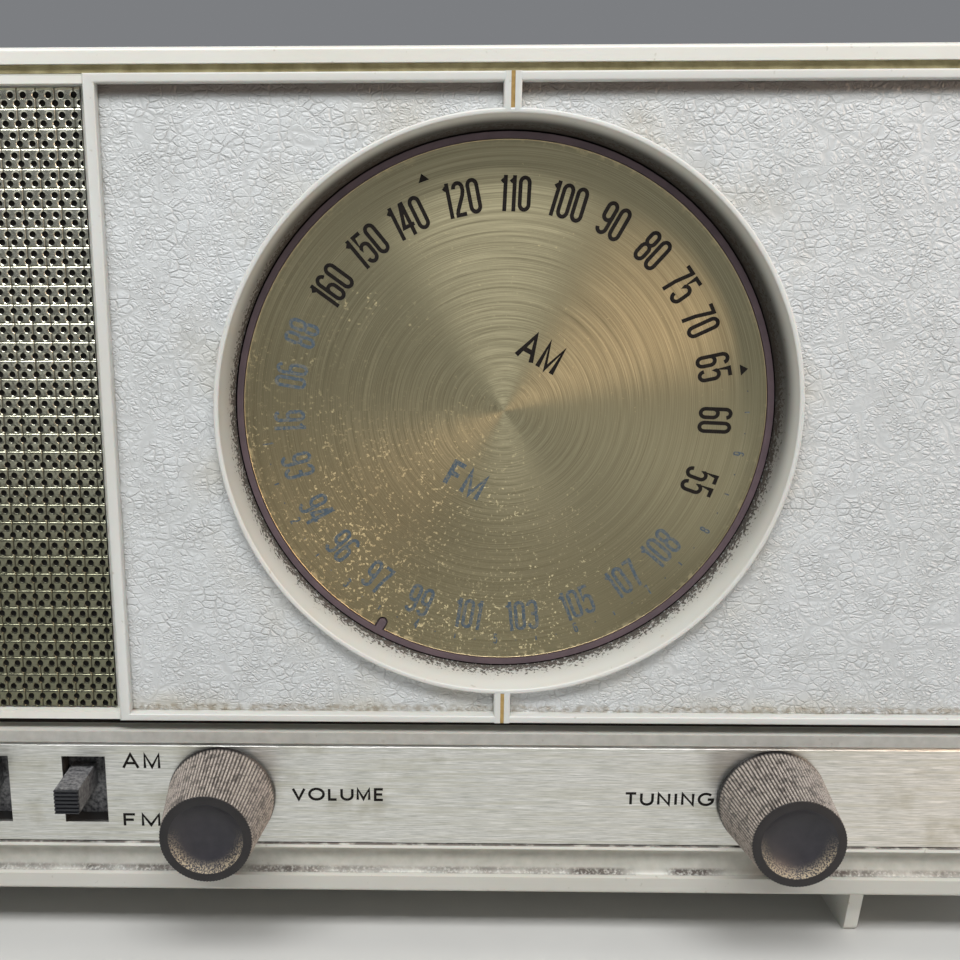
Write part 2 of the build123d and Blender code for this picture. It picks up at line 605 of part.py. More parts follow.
LEVER_TIP = 7.6            # levers stand this far in front of the face
LEVER_WIDE = 5.2
LEVER_HIGH = 5.3
SHIELD_X = 6.5             # dust shield's half width, and how far it reaches below and above the lever's middle
SHIELD_DOWN = 11.0
SHIELD_UP = 11.8
SLIDER = (7.0, 7.0)


def lever(window_x):
    """Ribbed slide lever with a dust shield behind the cabinet wall and a slider in the switch."""
    x = window_x + LEVER_OFFSET[0]
    z = SWITCH_Z + LEVER_OFFSET[1]
    tip = -LEVER_TIP
    body = block(x - LEVER_WIDE / 2, x + LEVER_WIDE / 2, z - LEVER_HIGH / 2, z + LEVER_HIGH / 2, tip, 6.3)
    for index in range(6):
        groove_z = z - LEVER_HIGH / 2 + 0.45 + index * 0.88
        body -= block(x - 4, x + 4, groove_z - 0.2, groove_z + 0.2, tip - 1, tip + 0.45)
    body += block(x - SHIELD_X, x + SHIELD_X, z - SHIELD_DOWN, z + SHIELD_UP, 6.3, 7.1)
    body += block(x - 2, x + 2, z - 2, z + 2, 7.1, APRON_BACK + 1.6)
    body += plate(Pos(x, z) * Rectangle(*SLIDER), APRON_BACK + 1.6, APRON_BACK + 5.2)
    return body


def slide_switch_body(window_x):
    """Metal can with a cavity for the slider, two fixing ears and solder lugs."""
    x = window_x + LEVER_OFFSET[0]
    z = SWITCH_Z + LEVER_OFFSET[1] - LEVER_TRAVEL / 2
    can = block(x - 6.5, x + 6.5, z - 9, z + 9, APRON_BACK, APRON_BACK + 8)
    can += block(x - 6.5, x + 6.5, z - 14, z + 14, APRON_BACK, APRON_BACK + 1)
    travel = LEVER_TRAVEL + 0.6
    can -= block(x - 2.3, x + 2.3, z - 2.3 - travel / 2, z + 2.3 + travel / 2, APRON_BACK - 1, APRON_BACK + 2)
    half_slider = SLIDER[1] / 2 + 0.2 + travel / 2
    can -= block(x - SLIDER[0] / 2 - 0.2, x + SLIDER[0] / 2 + 0.2, z - half_slider, z + half_slider,
                 APRON_BACK + 1.4, APRON_BACK + 5.4)
    for row in (-3, 3):
        for step in (-6, 0, 6):
            lug = Pos(x + row, z + step) * Rectangle(0.8, 2)
            can += plate(lug, APRON_BACK + 8, APRON_BACK + 12)
    return can


# ---- Chassis ------------------------------------------------------------------------------------------------
TUBE_SPOTS = [(-46.0, 52.0), (-18.0, 100.0), (20.0, 56.0), (112.0, 72.0), (146.0, 52.0)]
SPACER_SPOTS = [(-52.0, 106.0), (156.0, 106.0), (-14.0, 46.0), (88.0, 46.0)]
TUBE_R = 10.5
TUBE_HEIGHT = 46.0
SOCKET_HIGH = 5.0


def chassis_pan():
    """Steel pan: deck, four aprons and flanges on the cabinet floor."""
    x_low, x_high = CHASSIS_X
    pan = block(x_low, x_high, DECK_Z, DECK_TOP, APRON_DEPTH, CHASSIS_BACK)
    pan += block(x_low, x_high, INSIDE_BOTTOM, DECK_TOP, APRON_DEPTH, APRON_BACK)
    pan += block(x_low, x_high, INSIDE_BOTTOM, DECK_TOP, CHASSIS_BACK - SHEET, CHASSIS_BACK)
    pan += block(x_low, x_low + SHEET, INSIDE_BOTTOM, DECK_TOP, APRON_DEPTH, CHASSIS_BACK)
    pan += block(x_high - SHEET, x_high, INSIDE_BOTTOM, DECK_TOP, APRON_DEPTH, CHASSIS_BACK)
    for x, depth in CHASSIS_SCREW_SPOTS:
        reach = -12 if x < 0 else 12
        edge = x_low if x < 0 else x_high
        low, high = sorted((edge, x - reach))
        pan += block(low, high, INSIDE_BOTTOM, INSIDE_BOTTOM + SHEET, depth - 7, depth + 7)
        pan -= post(x, depth, 1.4, INSIDE_BOTTOM - 1, INSIDE_BOTTOM + SHEET + 1)
    for x in (VOLUME_X, TUNING_X):
        pan -= rod(x, CONTROL_Z, BUSHING_R, APRON_DEPTH - 1, APRON_BACK + 1)
    for window_x in (BAND_WINDOW_X, AFC_WINDOW_X):
        x = window_x + LEVER_OFFSET[0]
        z = SWITCH_Z + LEVER_OFFSET[1] - LEVER_TRAVEL / 2
        pan -= block(x - 2.4, x + 2.4, z - 6, z + 6, APRON_DEPTH - 1, APRON_BACK + 1)
    pan -= block(84, 134, DECK_Z - 1, DECK_TOP + 1, 14, 24)
    for x, depth in TUBE_SPOTS:
        pan -= post(x, depth, TUBE_R - 1, DECK_Z - 1, DECK_TOP + 1)
    return pan


def chassis_screws():
    """Four screws up through the cabinet floor, heads below it."""
    screws = []
    for x, depth in CHASSIS_SCREW_SPOTS:
        head = CABINET_BOTTOM - 2
        screw = post(x, depth, 1.4, CABINET_BOTTOM, INSIDE_BOTTOM + SHEET + 4)
        screw += post(x, depth, 4, head, CABINET_BOTTOM)
        screws.append(screw - Pos(x, at(depth), head) * Box(6, 1, 1.6))
    return joined(screws)


def circuit_board():
    """Phenolic board under the deck, between the controls and the rear apron."""
    board = block(CHASSIS_X[0] + 10, CHASSIS_X[1] - 10, 40.0, 41.6, 40, 112)
    for x, depth in TUBE_SPOTS:
        board -= post(x, depth, TUBE_R + 0.5, 39, 43)
    for x, depth in SPACER_SPOTS:
        board += post(x, depth, 3, 41.6, DECK_Z)
    return board


def glass_tube(x, depth):
    """Miniature vacuum tube: hollow glass bulb with its tip, and pins below."""
    base = DECK_TOP + SOCKET_HIGH
    shoulder = (TUBE_R - 1, TUBE_HEIGHT - 9)
    tip_foot = (1.6, TUBE_HEIGHT - 1.4)
    dome = ThreePointArc(shoulder, (6.6, TUBE_HEIGHT - 3.2), tip_foot)
    tip = Polyline(tip_foot, (0.8, TUBE_HEIGHT + 2), (0, TUBE_HEIGHT + 2), (0, 0), (TUBE_R - 1, 0), shoulder)
    bulb = revolve(Plane.XZ * make_face([dome, tip]), Axis.Z)
    bulb -= Pos(0, 0, 3 + (TUBE_HEIGHT - 13) / 2) * Cylinder(TUBE_R - 2, TUBE_HEIGHT - 13)
    return Pos(x, at(depth), base) * bulb


def tube_electrodes():
    """Blackened plates inside every glass, on a mica disc at each end."""
    cages = []
    base = DECK_TOP + SOCKET_HIGH + 3.2
    for x, depth in TUBE_SPOTS:
        cage = Pos(x, at(depth), base + 15.5) * Box(9, 6, 25)
        cage += post(x, depth, 7.6, base + 2, base + 2.8)
        cage += post(x, depth, 7.6, base + 28, base + 28.8)
        cage += post(x, depth, 0.8, base, base + 3)
        cages.append(cage)
    return joined(cages)


def tube_sockets():
    """Moulded sockets through the deck."""
    sockets = []
    for x, depth in TUBE_SPOTS:
        socket = post(x, depth, TUBE_R - 1, DECK_Z - 6, DECK_TOP)
        socket += post(x, depth, TUBE_R + 1.5, DECK_TOP, DECK_TOP + SOCKET_HIGH)
        sockets.append(socket)
    return joined(sockets)


def if_transformer_cans():
    """Square aluminium cans with a tuning hole in the top of each."""
    cans = []
    for x, depth in ((-52.0, 94.0), (18.0, 96.0), (106.0, 104.0), (136.0, 84.0)):
        can = Pos(x, at(depth), DECK_TOP + 22) * Box(19, 19, 44)
        can = fillet(can.edges().filter_by(Axis.Z), 2)
        cans.append(can - post(x, depth, 3, DECK_TOP + 40, DECK_TOP + 45))
    return joined(cans)


def output_transformer_core():
    """Laminated core with its two windows filled by the coil."""
    core = block(-40, 4, DECK_TOP, DECK_TOP + 36, 66, 80)
    for x in (-33, -11):
        core -= block(x, x + 8, DECK_TOP + 7, DECK_TOP + 29, 65, 81)
    return Pos(-2, 0, 0) * core


def output_transformer_coil():
    """Paper-wrapped coil round the middle limb."""
    coil = block(-34.9, -5.1, DECK_TOP + 7.1, DECK_TOP + 28.9, 62, 84)
    coil -= block(-27.1, -12.9, DECK_TOP + 6, DECK_TOP + 30, 65.9, 80.1)
    coil -= block(-50, -35, DECK_TOP, DECK_TOP + 36, 60, 90)
    return coil


def filter_capacitor():
    """Upright aluminium can with a rolled edge."""
    can = post(158, 96, 12, DECK_TOP, DECK_TOP + 58)
    can = fillet(can.edges().filter_by(GeomType.CIRCLE).sort_by(Axis.Z)[-1], 2)
    return can + post(158, 96, 13, DECK_TOP, DECK_TOP + 2)


ROD_Z = 168.0
ROD_DEPTH = 126.0
ROD_R = 4.75


def rod_across(radius, x_low, x_high):
    """Round bar along X at the aerial's place."""
    return Pos((x_low + x_high) / 2, at(ROD_DEPTH), ROD_Z) * Rot(0, 90, 0) * Cylinder(radius, x_high - x_low)


def antenna_coil():
    """Winding on the ferrite rod."""
    return rod_across(ROD_R + 2.2, 20, 52) - rod_across(ROD_R, 19, 53)


def antenna_clips():
    """Two plastic clips that hold the rod on the back cover."""
    clips = []
    for x in (-62, 62):
        clip = block(x - 3, x + 3, ROD_Z - 8, ROD_Z + 8, ROD_DEPTH - 7, COVER_DEPTH)
        clips.append(clip - rod_across(ROD_R, x - 4, x + 4))
    return joined(clips)


# ---- Back ---------------------------------------------------------------------------------------------------
INLET_X = 150.0
INLET_Z = 44.0
PIN_R = 2.0
PIN_PITCH = 13.0
INLET_FLOOR = CABINET_DEPTH + COVER_BULGE - 12
PIN_END = CABINET_DEPTH + COVER_BULGE - 2
BULGE = (350.0, 150.0)
VENT_ROWS = (84.0, 112.0, 140.0)
VENT_COLUMNS = 37
VENT_PITCH = 8.5
VENT_SLOT = (20.0, 3.2)
TERMINAL_X = -120.0
TERMINAL_Z = 44.0
TERMINAL_X_STEPS = (-14, 0, 14)
POCKET = (52.0, 20.0)
POCKET_FLOOR = CABINET_DEPTH + COVER_BULGE - 4


def back_cover():
    """Moulded cover: flange inside the cabinet walls and a hollow raised field with rows of vents."""
    back = CABINET_DEPTH + COVER_BULGE
    flange = Pos(0, CABINET_MID_Z) * RectangleRounded(2 * INSIDE_X - 0.8, CABINET_HEIGHT - 2 * WALL - 0.8, 3.5)
    field = Pos(0, CABINET_MID_Z) * RectangleRounded(*BULGE, 8)
    hollow = Pos(0, CABINET_MID_Z) * RectangleRounded(*[side - 2 * COVER_THICK for side in BULGE], 5.5)
    raised = plate(field, CABINET_DEPTH, back)
    raised = fillet(raised.edges().filter_by(lambda e: abs(e.center().Y - at(back)) < 0.01), 1.5)
    cover = plate(flange, COVER_DEPTH, CABINET_DEPTH) + raised
    cover -= plate(hollow, COVER_DEPTH + COVER_THICK, back - COVER_THICK)
    cover -= plate(hollow - clip_pads(), COVER_DEPTH - 1, COVER_DEPTH + COVER_THICK + 0.1)
    vents = Sketch()
    for z in VENT_ROWS:
        for column in range(VENT_COLUMNS):
            x = (column - (VENT_COLUMNS - 1) / 2) * VENT_PITCH
            vents += Pos(x, z) * SlotOverall(*VENT_SLOT, rotation=90)
    cover -= plate(vents, back - COVER_THICK - 1, back + 1)
    cover -= block(INLET_X - 16, INLET_X + 16, INLET_Z - 10.5, INLET_Z + 10.5, COVER_DEPTH - 1, back + 1)
    for x, z in COVER_BOSSES:
        cover -= rod(x, z, 1.7, COVER_DEPTH - 1, CABINET_DEPTH + 1)
    pocket = Pos(TERMINAL_X, TERMINAL_Z) * RectangleRounded(*POCKET, 3)
    pocket_wall = Pos(TERMINAL_X, TERMINAL_Z) * RectangleRounded(POCKET[0] + 4, POCKET[1] + 4, 5)
    cover += plate(pocket_wall, POCKET_FLOOR - 2, back)
    cover -= plate(pocket, POCKET_FLOOR, back + 1)
    for x, z in terminal_spots():
        cover -= rod(x, z, 1.6, POCKET_FLOOR - 3, back + 1)
    return cover


def clip_pads():
    """Pads left on the cover's flange for the aerial clips."""
    return rect(-70, -54, ROD_Z - 9, ROD_Z + 9) + rect(54, 70, ROD_Z - 9, ROD_Z + 9)


def back_cover_screws():
    """Four screws into the cabinet's bosses."""
    screws = []
    for x, z in COVER_BOSSES:
        screw = rod(x, z, 1.3, 124, CABINET_DEPTH) + rod(x, z, 3.4, CABINET_DEPTH, CABINET_DEPTH + 2)
        screws.append(screw - block(x - 2.6, x + 2.6, z - 0.4, z + 0.4, CABINET_DEPTH + 1, CABINET_DEPTH + 3))
    return joined(screws)


def mains_inlet_body():
    """Recessed two-pin inlet."""
    back = CABINET_DEPTH + COVER_BULGE
    body = block(INLET_X - 15.8, INLET_X + 15.8, INLET_Z - 10.3, INLET_Z + 10.3, INLET_FLOOR - 4, back)
    shape = Pos(INLET_X, INLET_Z) * SlotOverall(27, 15)
    return body - plate(shape, INLET_FLOOR, back + 1)


def mains_inlet_pins():
    """Two round pins in the inlet."""
    spots = [INLET_X + side * PIN_PITCH / 2 for side in (-1, 1)]
    return joined([rod(x, INLET_Z, PIN_R, INLET_FLOOR, PIN_END) for x in spots])


def terminal_spots():
    """Three aerial terminals in a row."""
    return [(TERMINAL_X + step, TERMINAL_Z) for step in TERMINAL_X_STEPS]


def antenna_terminal_strip():
    """Phenolic strip on the floor of the cover's pocket."""
    strip = Pos(TERMINAL_X, TERMINAL_Z) * RectangleRounded(46, 14, 2)
    for x, z in terminal_spots():
        strip -= Pos(x, z) * Circle(1.6)
    return plate(strip, POCKET_FLOOR, POCKET_FLOOR + 1.6)


def antenna_terminal_screws():
    """Three slotted binding screws through the strip."""
    face = POCKET_FLOOR + 1.6
    screws = []
    for x, z in terminal_spots():
        screw = rod(x, z, 1.5, POCKET_FLOOR - 6, face) + rod(x, z, 3.6, face, face + 2)
        screws.append(screw - block(x - 2.8, x + 2.8, z - 0.4, z + 0.4, face + 1.1, face + 3))
    return joined(screws)


NODES = {
    "cabinet_shell": cabinet_shell,
    "left_foot_runner": lambda: foot_runner(-145),
    "right_foot_runner": lambda: foot_runner(145),
    "face_frame": face_frame,
    "tuning_index_lines": tuning_index_lines,
    "leatherette_left": lambda: leatherette(-1),
    "leatherette_right": lambda: leatherette(1),
    "dial_disc": dial_disc,
    "dial_rim": dial_rim,
    "dial_shield": dial_shield,
    "dial_drum": dial_drum,
    "gang_frame": gang_frame,
    "gang_rotor": gang_rotor,
    "gang_stator": gang_stator,
    "gang_bracket": gang_bracket,
    "dial_cord": dial_cord,
    "grille_frame": grille_frame,
    "speaker_grille": speaker_grille,
    "speaker_baffle": speaker_baffle,
    "speaker_gasket": speaker_gasket,
    "speaker_basket": speaker_basket,
    "speaker_cone": speaker_cone,
    "speaker_dust_cap": speaker_dust_cap,
    "speaker_magnet": speaker_magnet,
    "speaker_screws": speaker_screws,
    "control_strip": control_strip,
    "volume_knob": lambda: knob(VOLUME_X),
    "tuning_knob": lambda: knob(TUNING_X),
    "volume_shaft": lambda: control_shaft(VOLUME_X, 20),
    "tuning_shaft": tuning_shaft,
    "volume_knob_spring": lambda: knob_spring(VOLUME_X),
    "tuning_knob_spring": lambda: knob_spring(TUNING_X),
    "tuning_bushing": tuning_bushing,
    "volume_pot_body": volume_pot_body,
    "bushing_nuts": bushing_nuts,
    "band_switch_lever": lambda: lever(BAND_WINDOW_X),
    "afc_switch_lever": lambda: lever(AFC_WINDOW_X),
    "band_switch_body": lambda: slide_switch_body(BAND_WINDOW_X),
    "afc_switch_body": lambda: slide_switch_body(AFC_WINDOW_X),
    "chassis_pan": chassis_pan,
    "chassis_screws": chassis_screws,
    "circuit_board": circuit_board,
    "tube_electrodes": tube_electrodes,
    "tube_sockets": tube_sockets,
    "if_transformer_cans": if_transformer_cans,
    "output_transformer_core": output_transformer_core,
    "output_transformer_coil": output_transformer_coil,
    "filter_capacitor": filter_capacitor,
    "ferrite_rod": lambda: rod_across(ROD_R, -78, 78),
    "antenna_coil": antenna_coil,
    "antenna_clips": antenna_clips,
    "back_cover": back_cover,
    "back_cover_screws": back_cover_screws,
    "mains_inlet_body": mains_inlet_body,
    "mains_inlet_pins": mains_inlet_pins,
    "antenna_terminal_strip": antenna_terminal_strip,
    "antenna_terminal_screws": antenna_terminal_screws,
}

os.makedirs("parts", exist_ok=True)
for node, build in NODES.items():
    export_step(build(), f"parts/{node}.step")
export_step(joined([glass_tube(x, depth) for x, depth in TUBE_SPOTS]), "parts/tube_glasses.step")
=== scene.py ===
# %% [markdown]
# # A table radio with a rotating dial
# The solid model of the radio is loaded as a fixed frame: every piece already has its place and its size,
# and the dial, the knobs and the slide levers are bodies that can move. This file gives the radio its
# looks. Pieces whose shape is right keep their solid and get a finish, and pieces whose beauty is in fine
# detail are made again here.

# %% Load the frame
import json
from math import cos, pi, radians, sin

import bmesh
import bpy
import numpy as np
from mathutils import Matrix, Vector


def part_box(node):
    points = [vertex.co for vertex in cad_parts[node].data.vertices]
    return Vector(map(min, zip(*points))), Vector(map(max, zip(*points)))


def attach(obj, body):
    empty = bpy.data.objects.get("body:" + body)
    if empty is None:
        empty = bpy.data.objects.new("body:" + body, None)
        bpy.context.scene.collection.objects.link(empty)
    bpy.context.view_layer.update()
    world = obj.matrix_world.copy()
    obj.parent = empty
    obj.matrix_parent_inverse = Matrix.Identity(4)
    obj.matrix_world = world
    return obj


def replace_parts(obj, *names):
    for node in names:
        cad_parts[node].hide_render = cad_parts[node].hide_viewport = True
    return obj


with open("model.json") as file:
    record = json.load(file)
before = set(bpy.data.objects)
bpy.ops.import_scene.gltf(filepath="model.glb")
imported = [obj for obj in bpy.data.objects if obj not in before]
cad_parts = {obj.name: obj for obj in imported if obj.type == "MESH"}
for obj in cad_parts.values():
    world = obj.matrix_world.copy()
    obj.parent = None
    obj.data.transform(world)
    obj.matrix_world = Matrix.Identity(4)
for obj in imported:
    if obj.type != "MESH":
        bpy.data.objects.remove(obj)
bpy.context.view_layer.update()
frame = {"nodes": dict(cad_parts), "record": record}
nodes = frame["nodes"]
print("solids loaded:", len(nodes))

# %% [markdown]
# ## Places
# All lengths are in metres and come from the solids. X runs to the right seen from the front, Y runs from
# the front to the back and Z runs up. The few places that several pieces share are worked out once.

# %% Places taken from the frame
MM = 0.001


def box(node):
    """Lowest and highest corner of a solid as two arrays."""
    low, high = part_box(node)
    return np.array(low), np.array(high)


def middle(node):
    """Centre of a solid's box."""
    low, high = box(node)
    return (low + high) / 2


DIAL = middle("dial_rim")                    # centre of the round dial, in X and Z
FRAME_LOW, FRAME_HIGH = box("face_frame")
FRONT = FRAME_LOW[1]                         # Y of the front edge of the frame
DISC_FACE = box("dial_disc")[0][1]
DISC_R = (box("dial_disc")[1][0] - box("dial_disc")[0][0]) / 2
STRIP_FACE = box("control_strip")[0][1]
INLAY_FACE = box("leatherette_left")[0][1]
BEZEL_OUT = 59.8 * MM
GRILLE_HOLES = 65                            # holes in each row of the loudspeaker's grille
SEAM_HOLES = 1.5                             # holes from one upright seam of its weave to the next
print("dial centre", DIAL[[0, 2]], "disc radius", DISC_R)

# %% [markdown]
# ## Camera
# The view is a close one from a little above, with a short lens. The camera's turn is given as three small
# angles: yaw, pitch and roll. The shift moves the lens's axis off the middle of the frame.

# %% Camera
CAMERA_PLACE = (0.0471, -0.2808, 0.1510)
CAMERA_YAW, CAMERA_PITCH, CAMERA_ROLL = -0.0198, 0.2069, 0.0019


def camera_turn(yaw, pitch, roll):
    """Rotation whose columns are the camera's right, its up and the way it looks away from."""
    ahead = Vector((sin(yaw) * cos(pitch), cos(yaw) * cos(pitch), -sin(pitch)))
    level = Vector((cos(yaw), -sin(yaw), 0))
    down = ahead.cross(level)
    right = cos(roll) * level + sin(roll) * down
    down = -sin(roll) * level + cos(roll) * down
    return Matrix((right, -down, -ahead)).transposed()


camera_data = bpy.data.cameras.new("camera")
camera_data.lens = 40.16
camera_data.sensor_width = 36.0
camera_data.shift_x = 0.0792
camera_data.shift_y = 0.0056
camera_data.clip_start = 0.01
camera = bpy.data.objects.new("camera", camera_data)
turn = camera_turn(CAMERA_YAW, CAMERA_PITCH, CAMERA_ROLL)
camera.matrix_world = Matrix.Translation(CAMERA_PLACE) @ turn.to_4x4()
bpy.context.scene.collection.objects.link(camera)
bpy.context.scene.camera = camera

# %% [markdown]
# ## Tools for finishes
# A finish is a small tree of nodes. One function turns a colour as a painter's chart gives it into the
# linear colour that light is worked out in. Another adds any node, sets it up and gives the output that the
# next node needs, so each finish below reads like a recipe. Patterns are laid out in object coordinates, in
# metres, so their sizes are real ones: a scale of 1000 / size makes cells of that many millimetres.

# %% Colour, nodes and materials
MIX_A, MIX_B, MIX_OUT = 6, 7, 2              # sockets of a Mix node when it mixes colours


def linear(hex_colour):
    """Colour written as #RRGGBB, turned to linear light by the sRGB curve."""
    parts = np.array([int(hex_colour[place:place + 2], 16) for place in (1, 3, 5)]) / 255
    curve = np.where(parts <= 0.04045, parts / 12.92, ((parts + 0.055) / 1.055) ** 2.4)
    return (*curve.tolist(), 1.0)


def add(tree, kind, inputs, out=0, **settings):
    """Adds one node, sets it up, fills or links its inputs, and gives the output asked for."""
    node = tree.nodes.new("ShaderNode" + kind)
    for name, value in settings.items():
        setattr(node, name, value)
    for key, value in inputs.items():
        if isinstance(value, bpy.types.NodeSocket):
            tree.links.new(value, node.inputs[key])
        else:
            node.inputs[key].default_value = value
    return node.outputs[out]


def finish(name, **sockets):
    """New material: its tree, object coordinates, and a function that sets or links its shader's sockets."""
    made = bpy.data.materials.new(name)
    made.use_nodes = True
    tree = made.node_tree
    shader = tree.nodes["Principled BSDF"]

    def dress(**values):
        for key, value in values.items():
            socket = shader.inputs[key.replace("_", " ")]
            if isinstance(value, bpy.types.NodeSocket):
                tree.links.new(value, socket)
            else:
                socket.default_value = value

    dress(**sockets)
    where = add(tree, "TexCoord", {}, out="Object")
    return made, tree, where, dress


def cloud(tree, where, size, low, high, detail=4):
    """Mask of soft-edged patches: noise of this grain in millimetres, cut between two levels."""
    noise = add(tree, "TexNoise", {"Vector": where, "Scale": 1000 / size, "Detail": detail})
    return add(tree, "MapRange", {"Value": noise, "From Min": low, "From Max": high})


def span(tree, value, start, end):
    """Mask that climbs from 0 at start to 1 at end and stays there; start may be the higher one."""
    return add(tree, "MapRange", {"Value": value, "From Min": start, "From Max": end},
               interpolation_type="SMOOTHSTEP")


def both(tree, one, other):
    """Two masks or numbers multiplied."""
    return add(tree, "Math", {0: one, 1: other}, operation="MULTIPLY")


def either(tree, one, other):
    """The stronger of two masks."""
    return add(tree, "Math", {0: one, 1: other}, operation="MAXIMUM")


def blend(tree, mask, under, over):
    """Colour laid over another where the mask is 1."""
    under = linear(under) if isinstance(under, str) else under
    over = linear(over) if isinstance(over, str) else over
    return add(tree, "Mix", {0: mask, MIX_A: under, MIX_B: over}, out=MIX_OUT, data_type="RGBA")


# %% [markdown]
# ## Cream plastic
# The cabinet and the frames are injection-moulded polystyrene, once white and now a little yellow. Moulding
# gives an even satin skin, so its colour only drifts over a few centimetres. Dust and kitchen grease have
# settled in the grooves, where a cloth does not reach, and that brown dirt is what tells the eye how deep
# the grooves are. Shade is painted in with the dirt: in the gap under the frame, on the ledge below it, in
# the cove, on the lower rim, behind the control strip and high in the dial's well. The masks are worked out
# from the depth behind the front face, broken up by two sizes of noise.

# %% Moulded cream polystyrene
def axes(tree, where):
    """X, Y and Z of a place, each as its own output."""
    split = add(tree, "SeparateXYZ", {"Vector": where})
    return split, split.node.outputs[1], split.node.outputs[2]


def polystyrene(name, fresh, aged, dirt_and_shade_of):
    """Aged cream plastic; the function given last gives layers of dirt and painted shade as pairs of a mask and a
    colour.
    """
    made, tree, where, dress = finish(name, IOR=1.55, Subsurface_Weight=0.12, Subsurface_Scale=0.0015)
    skin = blend(tree, cloud(tree, where, 60, 0.35, 0.75), fresh, aged)
    specks = cloud(tree, where, 1.6, 0.70, 0.76, detail=2)
    skin = blend(tree, both(tree, specks, 0.3), skin, "#8F8468")
    dull = 0.0
    # Each layer is dirt or painted shade, laid over the skin in turn.
    for mask, colour in dirt_and_shade_of(tree, where):
        skin = blend(tree, mask, skin, colour)
        dull = either(tree, mask, dull)
    dress(Base_Color=skin)
    dress(Roughness=add(tree, "MapRange", {"Value": dull, "To Min": 0.34, "To Max": 0.9}))
    ripple = add(tree, "TexNoise", {"Vector": where, "Scale": 1000 / 3.0, "Detail": 4})
    dress(Normal=add(tree, "Bump", {"Height": ripple, "Strength": 0.25, "Distance": 0.00008}))
    return made


def groove_dirt(tree, where):
    """Dirt and painted shade on the cabinet: grime and painted shadow in the gap under the frame, painted shade on
    the ledge, film and painted shade in the cove, a dark line under the strip, painted shade behind the strip and
    on the lower rim, dust in the top groove, crumbs in the cove's corner.
    """
    x, y, z = axes(tree, where)
    side = add(tree, "Math", {0: x}, operation="ABSOLUTE")
    front = both(tree, span(tree, side, 187.2 * MM, 186.9 * MM), span(tree, y, FRONT + 12 * MM, FRONT + 11 * MM))
    streak = add(tree, "MapRange", {"Value": cloud(tree, where, 2.5, 0.3, 0.7), "To Min": 0.75, "To Max": 1.0})

    def level(low, high, soft=0.2):
        """1 between two heights in millimetres."""
        above = span(tree, z, (low - soft) * MM, low * MM)
        return both(tree, above, span(tree, z, (high + soft) * MM, high * MM))

    # Painted shade: the ledge under the frame is greyed, with a streaky mask.
    ledge = both(tree, both(tree, level(47.6, 50.6), front), both(tree, streak, 0.62))
    # Grime with painted shadow: the gap under the frame is made near black.
    gap = both(tree, both(tree, level(50.9, 53.2), front), span(tree, y, FRONT + 0.8 * MM, FRONT + 1.0 * MM))
    # A film of dirt with painted shade greys the cove below the strip.
    cove = span(tree, y, FRONT + 1.2 * MM, FRONT + 2.4 * MM)
    cove = both(tree, both(tree, level(17.2, 22.6, 0.6), front), cove)
    cove = both(tree, cove, both(tree, streak, 0.62))
    under = both(tree, both(tree, level(23.9, 24.25, 0.25), front), cloud(tree, where, 4, 0.32, 0.5))
    # Painted shade: the face behind the strip, seen through its slots, is made near black.
    behind = span(tree, y, STRIP_FACE + 0.5 * MM, STRIP_FACE + 0.7 * MM)
    behind = both(tree, both(tree, level(24.6, 47.4), front), behind)
    corner = both(tree, level(16.9, 17.5, 0.7), span(tree, y, FRONT + 0.9 * MM, FRONT + 1.6 * MM))
    crumbs = both(tree, cloud(tree, where, 12, 0.34, 0.6), cloud(tree, where, 0.6, 0.26, 0.52))
    crumbs = both(tree, both(tree, corner, front), crumbs)
    deep_top = span(tree, y, FRONT + 0.8 * MM, FRONT + 1.4 * MM)
    deep_top = both(tree, both(tree, level(186.0, 187.8), front), deep_top)
    # The grey laid low on the cabinet, from 12.5 to 16.8 mm, is painted shade on the lower rim.
    return [(ledge, "#66645F"), (gap, "#15110B"), (cove, "#6E6C60"), (both(tree, deep_top, 0.8), "#7D7455"),
            (both(tree, level(12.5, 16.8), 0.35), "#77756D"), (behind, "#0E0C0B"),
            (both(tree, under, 0.8), "#2B1B12"), (both(tree, crumbs, 0.85), "#2C1C14")]


